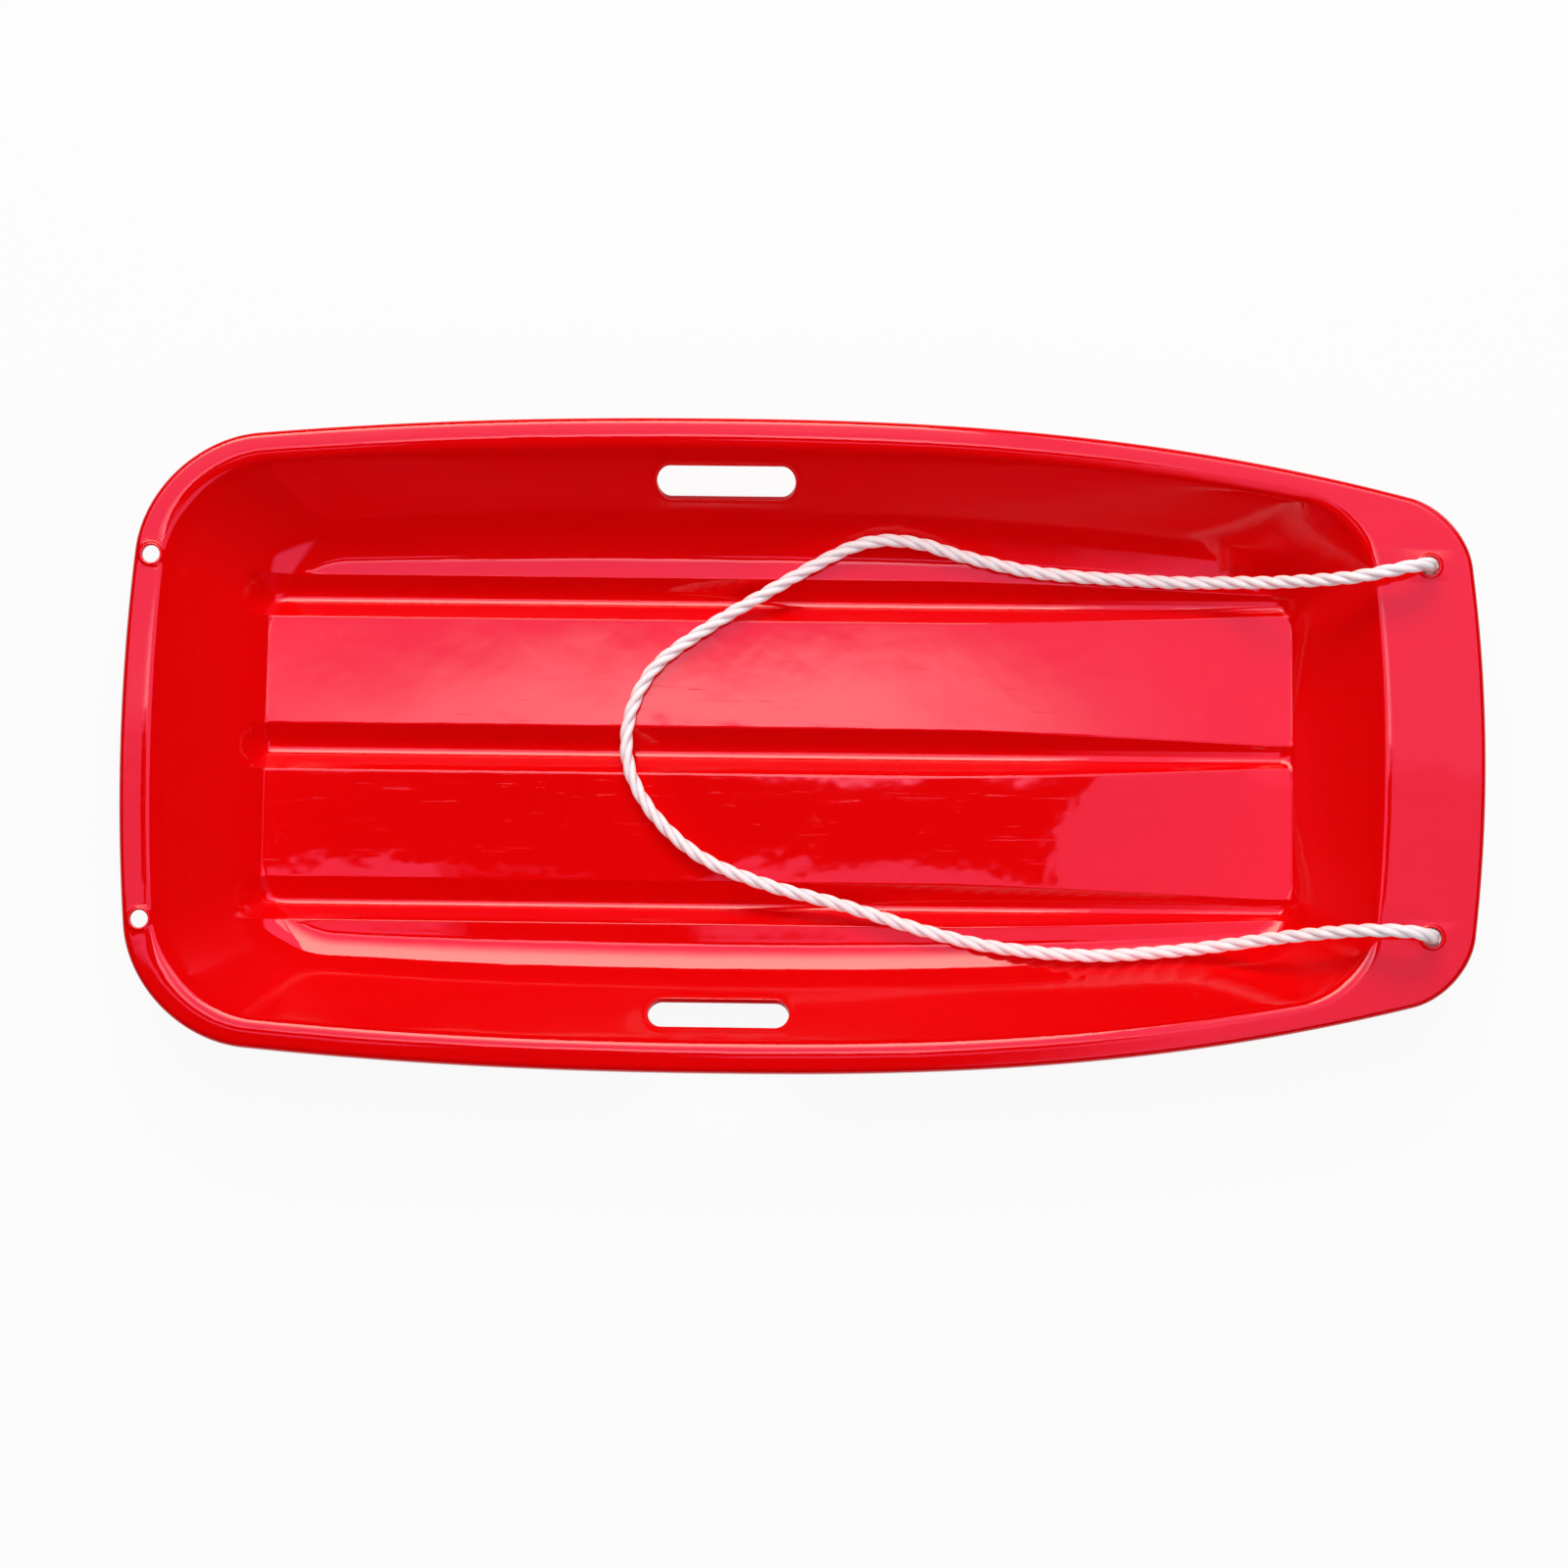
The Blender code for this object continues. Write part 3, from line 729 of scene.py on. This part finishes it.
class Skin:
    """One of the shell's two surfaces: level rings with grooves, slots and holes let into them."""

    def __init__(self, depth, rings):
        self.depth = depth
        self.points = [tuple(p) for ring in rings for p in ring]
        self.count = len(rings[0])
        self.ring_total = len(rings)
        self.quads = []
        for i in range(self.ring_total - 1):
            for k in range(self.count):
                after = (k + 1) % self.count
                row = i * self.count
                self.quads.append((row + k, row + after, row + self.count + after, row + self.count + k))
        self.base = BVHTree.FromPolygons(self.points, self.quads)
        self.plan = np.array(self.points)[:, :2]
        self.quad_array = np.array(self.quads)
        self.cut = set()
        self.faces = []
        self.loops = {}
        self.feature_edges = []
        self.feature_outlines = []

    def height(self, x, y):
        """Height of the plain surface, before grooves and lips."""
        for nudge in (0.0, 2e-6, -3e-6):
            hit = self.base.ray_cast(Vector((x + nudge, y + nudge, 1.0)), Vector((0, 0, -1)))[0]
            if hit:
                return hit.z
        return FLOOR_TOP - self.depth

    def clear_under(self, outline):
        """Takes out every quad that an outline, grown by a little, touches or holds."""
        ring = np.array(outline)
        back, on = np.roll(ring, 1, axis=0), np.roll(ring, -1, axis=0)
        way = on - back
        out = np.stack([way[:, 1], -way[:, 0]], axis=1)
        out /= np.linalg.norm(out, axis=1)[:, None] + 1e-12
        around = (ring[:, 0] * on[:, 1] - on[:, 0] * ring[:, 1]).sum()
        ring = ring + out * (FEATURE_GAP if around > 0 else -FEATURE_GAP)
        starts, ends = ring, np.roll(ring, -1, axis=0)
        corners = self.plan[self.quad_array]
        low, high = ring.min(axis=0), ring.max(axis=0)
        near = ((corners.max(axis=1) > low) & (corners.min(axis=1) < high)).all(axis=1)
        numbers = np.nonzero(near)[0]
        corners = corners[numbers]
        lines = np.stack([starts, ends], axis=1)
        touched = inside_lines(corners.reshape(-1, 2), lines).reshape(-1, 4).any(axis=1)
        for k in range(4):
            touched |= crossings(corners[:, k], corners[:, (k + 1) % 4], starts, ends)
        self.cut.update(int(n) for n in numbers[touched])

    def add(self, points):
        start = len(self.points)
        self.points += points
        return list(range(start, start + len(points)))

    def close_loop(self, loop):
        self.feature_edges += list(zip(loop, loop[1:] + loop[:1]))
        self.feature_outlines.append([self.points[i][:2] for i in loop])

    def let_in_loops(self, name, outlines):
        """Lets in a hole or slot: plan loops from outside to its cut edge, each with its lift."""
        self.clear_under(outlines[0][0])
        rows = []
        for outline, lift in outlines:
            rows.append(self.add([(x, y, self.height(x, y) + lift) for x, y in outline]))
        for outer, inner in zip(rows, rows[1:]):
            for k in range(len(outer)):
                after = (k + 1) % len(outer)
                self.faces.append((outer[k], outer[after], inner[after], inner[k]))
        self.close_loop(rows[0])
        self.loops[name] = rows[-1]

    def let_in_grid(self, grid):
        """Lets in a groove or keel from its grid of (x, y, drop)."""
        rows = []
        for row in grid:
            rows.append(self.add([(x, y, self.height(x, y) - drop) for x, y, drop in row]))
        for lower, upper in zip(rows, rows[1:]):
            for k in range(len(lower) - 1):
                self.faces.append((lower[k], lower[k + 1], upper[k + 1], upper[k]))
        loop = list(rows[0]) + [row[-1] for row in rows[1:]]
        loop += list(reversed(rows[-1][:-1])) + [row[0] for row in reversed(rows[1:-1])]
        self.clear_under([self.points[i][:2] for i in loop])
        self.close_loop(loop)

    def close(self):
        """Keeps the untouched quads and fills the rest of the surface, the floor too, round the features."""
        kept = [quad for i, quad in enumerate(self.quads) if i not in self.cut]
        last = (self.ring_total - 1) * self.count
        uses = {}
        for i, quad in enumerate(self.quads):
            for a, b in zip(quad, quad[1:] + quad[:1]):
                uses.setdefault((min(a, b), max(a, b)), []).append(i in self.cut)
        border = []
        for edge, cuts in uses.items():
            on_floor = edge[0] >= last and edge[1] >= last
            if on_floor:
                if not cuts[0]:
                    border.append(edge)
            elif sum(cuts) == 1:
                border.append(edge)
        border += self.feature_edges
        on_border = {i for edge in border for i in edge}
        touched = {i for n in self.cut for i in self.quads[n]}
        loose = self.clear_of_features(sorted(touched - on_border))
        used = sorted(on_border) + sorted(loose)
        place = {index: n for n, index in enumerate(used)}
        plan = [Vector(self.points[i][:2]) for i in used]
        edges = [(place[a], place[b]) for a, b in border]
        _, _, triangles, origins, _, _ = delaunay_2d_cdt(plan, edges, [], 0, 1e-8)
        corners = np.array([self.points[i][:2] for i in used])
        lines = np.array([(corners[a], corners[b]) for a, b in edges])
        own = [[used[origins[n][0]] for n in triangle] for triangle in triangles]
        middles = np.array([np.mean([self.points[i][:2] for i in triangle], axis=0) for triangle in own])
        inside = inside_lines(middles, lines)
        self.faces += [tuple(t) for t, keep in zip(own, inside) if keep]
        self.faces += kept

    def clear_of_features(self, numbers):
        """Those of the surface's points that lie outside every feature and not close to one."""
        at = self.plan[numbers]
        clear = np.ones(len(numbers), bool)
        for outline in self.feature_outlines:
            ring = np.array(outline)
            clear &= np.abs(at[:, None, :] - ring[None, :, :]).max(axis=2).min(axis=1) > FEATURE_GAP
            clear &= ~inside_lines(at, np.stack([ring, np.roll(ring, -1, axis=0)], axis=1))
        return [n for n, keep in zip(numbers, clear) if keep]


def crossings(starts, ends, others, other_ends):
    """Which of the first lines cross any of the second."""

    def side(a, b, points):
        run = b - a
        away = points[None, :, :] - a[:, None, :]
        return run[:, None, 0] * away[:, :, 1] - run[:, None, 1] * away[:, :, 0] > 0

    split = side(starts, ends, others) != side(starts, ends, other_ends)
    other_split = side(others, other_ends, starts).T != side(others, other_ends, ends).T
    return (split & other_split).any(axis=1)


def inside_lines(points, lines):
    """Which points lie inside closed lines, counted even and odd."""
    inside = np.zeros(len(points), bool)
    x, y = points[:, 0], points[:, 1]
    for (ax, ay), (bx, by) in lines:
        if ay == by:
            continue
        crosses = (ay > y) != (by > y)
        inside ^= crosses & (x < (bx - ax) * (y - ay) / (by - ay) + ax)
    return inside


def let_in_openings(skin, hole_lip, slot_lip, slot_shift):
    """Lets the rope holes and hand slots into a skin; the slots shift outward down the sloping wall."""
    for sign, side in ((1, "left"), (-1, "right")):
        for end, at, width in (("rear", REAR_HOLE_AT, REAR_HOLE), ("front", FRONT_HOLE_AT, FRONT_HOLE)):
            place = (at[0], sign * at[1])
            loops = [(circle(place, width / 2 + out), lift) for out, lift in hole_lip]
            skin.let_in_loops(f"{side}_{end}_hole", loops)
        place = (SLOT_AT[0], sign * (SLOT_AT[1] + slot_shift))
        loops = [(stadium(place, SLOT_LENGTH, SLOT_WIDTH, out), lift) for out, lift in slot_lip]
        skin.let_in_loops(f"{side}_slot", loops)


def top_skin():
    """The shell's upper surface, from its outer edge to the floor."""
    rings = []
    for degrees in SKIRT_TURNS:
        turn = math.radians(degrees)
        inset = SKIRT_LEAN + SKIRT_ROUND * (1 - math.sin(turn))
        rings.append(rim_ring(inset, RIM_TOP - SKIRT_ROUND * (1 - math.cos(turn))))
    rings.append(rim_ring(RIM_FLAT_STARTS, RIM_TOP))
    rings += wall_rings(0.0)
    skin = Skin(0.0, rings)
    let_in_openings(skin, HOLE_LIP, SLOT_LIP, 0.0)
    for y, kind in ((0.0, 0), (GROOVE_PITCH, 1), (-GROOVE_PITCH, 1)):
        slope = GROOVE_SLOPES[kind]
        bottom = GROOVE_BOTTOM_ROUNDS[kind]
        flat = 2 * bottom * math.tan(slope / 2)
        skin.let_in_grid(groove_grid(y, flat, slope, GROOVE_EDGE_ROUND, bottom))
    skin.close()
    return skin


def under_skin():
    """The shell's lower surface, from inside the skirt to the undersides of the keels."""
    rings = [rim_ring(start, DECK_UNDERSIDE) for start in UNDER_RIM_STARTS]
    rings += wall_rings(WALL)
    skin = Skin(WALL, rings)
    slope = Wall(SIDE_RUN, FLOOR_FILLET, 0.0).slope
    let_in_openings(skin, HOLE_UNDER_EDGE, SLOT_UNDER_EDGE, WALL * math.sin(slope))
    for y, flat in ((0.0, CENTRE_KEEL_FLAT), (GROOVE_PITCH, SIDE_KEEL_FLAT), (-GROOVE_PITCH, SIDE_KEEL_FLAT)):
        skin.let_in_grid(groove_grid(y, flat, KEEL_SLOPE, KEEL_EDGE_ROUND, KEEL_BOTTOM_ROUND))
    skin.close()
    return skin


def make_shell(finish):
    """The moulded shell: its two skins joined at the skirt, the slots and the holes."""
    top = top_skin()
    under = under_skin()
    offset = len(top.points)
    points = top.points + under.points
    faces = list(top.faces) + [tuple(i + offset for i in face) for face in under.faces]

    def bridge(first, second):
        for k in range(len(first)):
            after = (k + 1) % len(first)
            faces.append((first[k], first[after], second[after], second[k]))

    for name, loop in top.loops.items():
        bridge(loop, [i + offset for i in under.loops[name]])
    # The skirt, as (inset from the outer edge, height): down the outside, round its lip and up the inside
    skirt_low = RIM_TOP - SKIRT_DROP
    skirt = [
        (SKIRT_LEAN + 0.00002, RIM_TOP - 0.97 * SKIRT_ROUND),
        (SKIRT_LEAN * 0.6, RIM_TOP - 0.0070),
        (SKIRT_LEAN * 0.2, skirt_low + 0.0022),
        (0.00002, skirt_low + 0.0010),
        (0.00025, skirt_low + 0.0004),
        (0.0008, skirt_low + 0.0001),
        (0.0014, skirt_low),
        (0.0022, skirt_low + 0.0001),
        (0.0027, skirt_low + 0.0004),
        (0.0030, skirt_low + 0.0010),
        (0.0032, skirt_low + 0.0040),
        (0.0035, DECK_UNDERSIDE - 0.0008),
        (0.0037, DECK_UNDERSIDE - 0.0002),
    ]
    before = list(range(top.count))
    for inset, z in skirt:
        start = len(points)
        points += [tuple(p) for p in rim_ring(inset, z)]
        here = list(range(start, start + top.count))
        bridge(before, here)
        before = here
    bridge(before, [i + offset for i in range(under.count)])
    mesh = bpy.data.meshes.new("moulded_shell")
    mesh.from_pydata(points, [], faces)
    shape = bmesh.new()
    shape.from_mesh(mesh)
    bmesh.ops.delete(shape, geom=[v for v in shape.verts if not v.link_faces], context="VERTS")
    bmesh.ops.recalc_face_normals(shape, faces=shape.faces)
    open_edges = sum(1 for edge in shape.edges if len(edge.link_faces) != 2)
    print("shell:", len(shape.verts), "points,", len(shape.faces), "faces,", open_edges, "open edges")
    shape.to_mesh(mesh)
    shape.free()
    mesh.shade_smooth()
    mesh.materials.append(finish)
    shell = bpy.data.objects.new("moulded_shell", mesh)
    bpy.context.scene.collection.objects.link(shell)
    return shell


# ---------------------------------------------------------------- rope and knots


def travel(before, at, after):
    """The way a smooth curve runs at one of its points, with a length of about one."""
    back = at - before
    ahead = after - at
    weight = back.length / (back.length + ahead.length)
    return back.normalized().lerp(ahead.normalized(), 1 - weight)


def smooth_line(points, pitch):
    """Evenly spaced points on a smooth curve through a route's own points."""
    ends = [points[0] * 2 - points[1]] + points + [points[-1] * 2 - points[-2]]
    dense = []
    for before, start, end, after in zip(ends, ends[1:], ends[2:], ends[3:]):
        third = (end - start).length / 3
        first_handle = start + travel(before, start, end) * third
        second_handle = end - travel(start, end, after) * third
        dense += interpolate_bezier(start, first_handle, second_handle, end, 25)[:-1]
    dense.append(points[-1])
    line = np.array(dense)
    lengths = np.concatenate([[0.0], np.cumsum(np.linalg.norm(np.diff(line, axis=0), axis=1))])
    count = max(2, round(lengths[-1] / pitch))
    wanted = np.linspace(0.0, lengths[-1], count + 1)
    return np.stack([np.interp(wanted, lengths, line[:, axis]) for axis in range(3)], axis=1)


def carried_frames(line):
    """Two directions across a line at each of its points, carried along it without twist."""
    ways = np.gradient(line, axis=0)
    ways /= np.linalg.norm(ways, axis=1)[:, None]
    side = np.cross(ways[0], (0.0, 1.0, 0.0))
    side /= np.linalg.norm(side)
    sides = []
    for way in ways:
        side = side - way * side.dot(way)
        side /= np.linalg.norm(side)
        sides.append(side)
    sides = np.array(sides)
    return sides, np.cross(ways, sides)


def strand_radius(turn):
    """Distance from the rope's middle to the surface of its three strands, and how deep in a valley it is."""
    lobe = (turn + math.pi / 3) % (2 * math.pi / 3) - math.pi / 3
    sideways = STRAND_OUT * np.sin(lobe)
    radius = STRAND_OUT * np.cos(lobe) + np.sqrt(STRAND_RADIUS**2 - sideways**2)
    return radius, np.clip(np.abs(lobe) / (math.pi / 3), 0.0, 1.0) ** 3


def laid_rope(name, line, finish, tight=1.0):
    """Three strands twisted to the right round a line, as one mesh with both ends closed."""
    sides, ups = carried_frames(line)
    travelled = np.concatenate([[0.0], np.cumsum(np.linalg.norm(np.diff(line, axis=0), axis=1))])
    turns = 2 * math.pi * np.arange(ROPE_RING_POINTS) / ROPE_RING_POINTS
    radius, valley = strand_radius(turns)
    radius = radius * tight
    points, along, around, valleys = [], [], [], []
    for at, side, up, gone in zip(line, sides, ups, travelled):
        angle = turns + 2 * math.pi * gone / ROPE_LAY
        ring = at + (np.cos(angle) * radius)[:, None] * side + (np.sin(angle) * radius)[:, None] * up
        points.append(ring)
        along.append(np.full(ROPE_RING_POINTS, gone))
        around.append(angle % (2 * math.pi))
        valleys.append(valley)
    points = np.concatenate(points)
    rings = len(line)
    faces = []
    for i in range(rings - 1):
        row = i * ROPE_RING_POINTS
        for k in range(ROPE_RING_POINTS):
            after = (k + 1) % ROPE_RING_POINTS
            faces.append((row + k, row + after, row + ROPE_RING_POINTS + after, row + ROPE_RING_POINTS + k))
    faces.append(tuple(reversed(range(ROPE_RING_POINTS))))
    faces.append(tuple((rings - 1) * ROPE_RING_POINTS + k for k in range(ROPE_RING_POINTS)))
    mesh = bpy.data.meshes.new(name)
    mesh.from_pydata(points.tolist(), [], faces)
    for label, values in (("along", along), ("around", around), ("valley", valleys)):
        attribute = mesh.attributes.new(label, "FLOAT", "POINT")
        attribute.data.foreach_set("value", np.concatenate(values).astype(np.float32))
    mesh.shade_smooth()
    mesh.materials.append(finish)
    rope = bpy.data.objects.new(name, mesh)
    bpy.context.scene.collection.objects.link(rope)
    return rope


def knot_line(sign):
    """The line of an overhand knot pulled up under the deck, from the hole down to the rope's tail."""
    middle = Vector((FRONT_HOLE_AT[0], sign * FRONT_HOLE_AT[1], KNOT_MIDDLE))
    shape = []
    for i in range(KNOT_STEPS + 1):
        t = blend(-KNOT_CURVE_END, KNOT_CURVE_END, i / KNOT_STEPS)
        x = (t**3 - 3 * t) * KNOT_SPREAD[0]
        y = (t**4 - 4 * t**2 + 2.0) * KNOT_SPREAD[1]
        z = -(t**5 - 10 * t) * KNOT_SPREAD[2]
        shape.append(Vector((x, y * sign, z)) + middle)
    head = [middle + Vector((0, 0, 0.0120)), middle + Vector((-0.0008, 0.0006 * sign, 0.0100))]
    tail = [middle + Vector((0.0010, 0.0, -0.0125)), middle + Vector((0.0, 0.0, -0.0235))]
    return smooth_line(head + shape[2:-2] + tail, ROPE_RING_PITCH)


# ---------------------------------------------------------------- stage and light


def direct_rays(tree):
    """1 for what the camera, a mirror or a clear pane sees directly, and 0 for soft light."""
    path = tree.node("ShaderNodeLightPath")
    return (path.out("Is Camera Ray") + path.out("Is Glossy Ray") + path.out("Is Transmission Ray")).clamped()


def pale_floor():
    """Pale paper that takes the sled's shadow."""
    skin = bpy.data.materials.new("pale_floor")
    tree = Tree(skin)
    speckle = tree.noise(tree.place(), 40.0, 2.0)
    shade = tree.mix(speckle, (0.80, 0.80, 0.80), (0.82, 0.82, 0.82))
    paper = tree.node("ShaderNodeBsdfDiffuse", None, {"Color": shade}).out(0)
    glow = tree.glow((0.995, 0.995, 0.995))
    seen = tree.node("ShaderNodeMixShader", None, {0: 0.92, 1: paper, 2: glow}).out(0)
    tree.finish(tree.node("ShaderNodeMixShader", None, {0: direct_rays(tree), 1: paper, 2: seen}).out(0))
    return skin


def ceiling_sheet():
    """The made-up ceiling in the gloss: bright strip, sheet and two boxes, dark boom, stand and clamp."""
    skin = bpy.data.materials.new("ceiling_sheet")
    tree = Tree(skin)
    split = tree.node("ShaderNodeSeparateXYZ", None, {0: tree.place()})
    wander = tree.noise(tree.place(), 5.0, 2.0) - 0.5
    x = split.out("X") + 0.10 * wander
    y = split.out("Y") + 0.06 * wander
    strip = y.step_up(0.235, 0.265) * (1.0 - y.step_up(0.28, 0.46))
    middle = x.step_up(-1.15, -0.15) * (1.0 - x.step_up(0.0, 0.62))
    sheet = 0.70 + 0.27 * y.step_up(0.20, 0.24) + 0.25 * y.step_up(0.45, 0.9)
    boom = y.step_up(0.046, 0.056) * (1.0 - y.step_up(0.222, 0.236))
    boom = boom * x.step_up(-0.86, -0.83) * (1.0 - (x - 0.5 * y).step_up(0.335, 0.350))
    stand = (1.0 - y.step_up(-0.08, -0.03)) * (1.0 - x.step_up(0.20, 0.62))
    clamp = (1.0 - y.step_up(0.04, 0.06)) * x.step_up(-0.60, -0.50) * (1.0 - x.step_up(-0.20, -0.10))
    open_part = (1.0 - boom) * (1.0 - stand) * (1.0 - clamp)
    edge = (1.0 - x.step_up(2.2, 2.6)) * x.step_up(-2.6, -2.2)
    edge = edge * (1.0 - y.step_up(2.88, 2.94)) * y.step_up(-2.4, -2.0)
    main_box = (1.0 - x.step_up(0.27, 0.31)) * x.step_up(-1.7, -1.6) * (1.0 - y.step_up(2.84, 2.90))
    side_box = x.step_up(0.40, 0.45) * (1.0 - x.step_up(1.3, 1.5)) * (1.0 - y.step_up(1.75, 1.85))
    boxes = (main_box + 0.55 * side_box) * y.step_up(0.52, 1.7)
    plain = tree.mix(sheet * open_part * edge, (0.0, 0.0, 0.0), (4.9, 1.38, 2.60))
    warm = tree.mix(strip * middle * open_part, (0.0, 0.0, 0.0), (4.2, 5.6, 4.4))
    bright = tree.mix(boxes, (0.0, 0.0, 0.0), (7.5, 11.5, 7.4))
    both = tree.node("ShaderNodeVectorMath", {"operation": "ADD"}, {0: plain, 1: warm}).out("Vector")
    both = tree.node("ShaderNodeVectorMath", {"operation": "ADD"}, {0: both, 1: bright}).out("Vector")
    tree.finish(tree.node("ShaderNodeEmission", None, {"Color": both, "Strength": 1.0}).out(0))
    return skin


def corner_glow():
    """A faint low card that the tub's rear right corner mirrors."""
    skin = bpy.data.materials.new("corner_glow")
    tree = Tree(skin)
    tree.finish(tree.glow((1.0, 0.5, 0.7), 2.6))
    return skin


def make_stage():
    """A plain pale floor and world, and a studio that shows only in the shell's gloss."""
    floor = plane("floor", square(FLOOR_HALF, FLOOR_LEVEL))
    floor.data.materials.append(pale_floor())
    world = bpy.data.worlds.new("pale_studio")
    bpy.context.scene.world = world
    tree = Tree(world)
    soft = tree.glow((0.16, 0.16, 0.165), kind="ShaderNodeBackground")
    pale = tree.glow((0.98, 0.98, 0.98), kind="ShaderNodeBackground")
    both = tree.node("ShaderNodeMixShader", None, {0: direct_rays(tree), 1: soft, 2: pale}).out(0)
    tree.finish(both, "ShaderNodeOutputWorld")
    card = bpy.data.materials.new("dark_card")
    tree = Tree(card)
    tree.finish(tree.node("ShaderNodeBsdfDiffuse", None, {"Color": (0.01, 0.01, 0.01, 1.0)}).out(0))
    upper = square(STUDIO_HALF, STUDIO_HEIGHT)
    lower = square(STUDIO_HALF, DARK_WALL_FOOT)
    ceiling = plane("studio_ceiling", upper)
    ceiling.data.materials.append(ceiling_sheet())
    staged = [ceiling]
    for number in range(4):
        after = (number + 1) % 4
        wall = plane(f"dark_wall_{number}", [lower[number], lower[after], upper[after], upper[number]])
        wall.data.materials.append(card)
        staged.append(wall)
    a, b = CORNER_CARD_ENDS
    low, high = CORNER_CARD_HEIGHTS
    glow = plane("corner_card", [(a, b, low), (b, a, low), (b, a, high), (a, b, high)])
    glow.data.materials.append(corner_glow())
    staged.append(glow)
    for made in staged:
        made.visible_camera = False
        made.visible_diffuse = False
        made.visible_shadow = False


def square(half, level):
    return [(-half, -half, level), (half, -half, level), (half, half, level), (-half, half, level)]


def plane(name, corners):
    mesh = bpy.data.meshes.new(name)
    mesh.from_pydata(corners, [], [(0, 1, 2, 3)])
    made = bpy.data.objects.new(name, mesh)
    bpy.context.scene.collection.objects.link(made)
    return made


def soft_light(name, place, tilt, size, brightness, colour):
    """A soft light with a given brightness of its own face, which lights but isn't mirrored."""
    data = bpy.data.lights.new(name, "AREA")
    data.shape = "RECTANGLE"
    data.size, data.size_y = size
    data.energy = brightness * data.size * data.size_y * math.pi
    data.color = colour
    made = bpy.data.objects.new(name, data)
    made.location = place
    made.rotation_euler = (math.radians(tilt), 0.0, 0.0)
    made.visible_camera = False
    made.visible_glossy = False
    bpy.context.scene.collection.objects.link(made)


def make_lights():
    soft_light("overhead", (0.0, -0.30, 2.35), 0.0, (2.2, 5.0), 1.48, (1.0, 1.0, 1.0))
    soft_light("key", (0.0, 2.75, 2.05), -52.0, (2.8, 1.2), 7.0, (1.0, 0.95, 0.87))


# ---------------------------------------------------------------- putting it together


def main():
    make_camera()
    rope_finish = white_polypropylene()
    route = [Vector(p) for p in ROPE_ROUTE]
    foot_left = Vector((route[0].x, route[0].y, ROPE_FOOT))
    foot_right = Vector((route[-1].x, route[-1].y, ROPE_FOOT))
    line = smooth_line([foot_left] + route + [foot_right], ROPE_RING_PITCH)
    rope = laid_rope("laid_tow_rope", line, rope_finish)
    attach(rope, "root")
    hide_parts("tow_rope")
    for side, sign in (("left", 1), ("right", -1)):
        knot = laid_rope(f"{side}_overhand_knot", knot_line(sign), rope_finish, KNOT_TIGHTNESS)
        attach(knot, "root")
        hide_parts(f"{side}_stopper_knot")
    shell = make_shell(red_polyethylene())
    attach(shell, "root")
    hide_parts("hull_shell")
    make_stage()
    make_lights()
    bpy.context.scene.view_settings.view_transform = "Standard"


main()
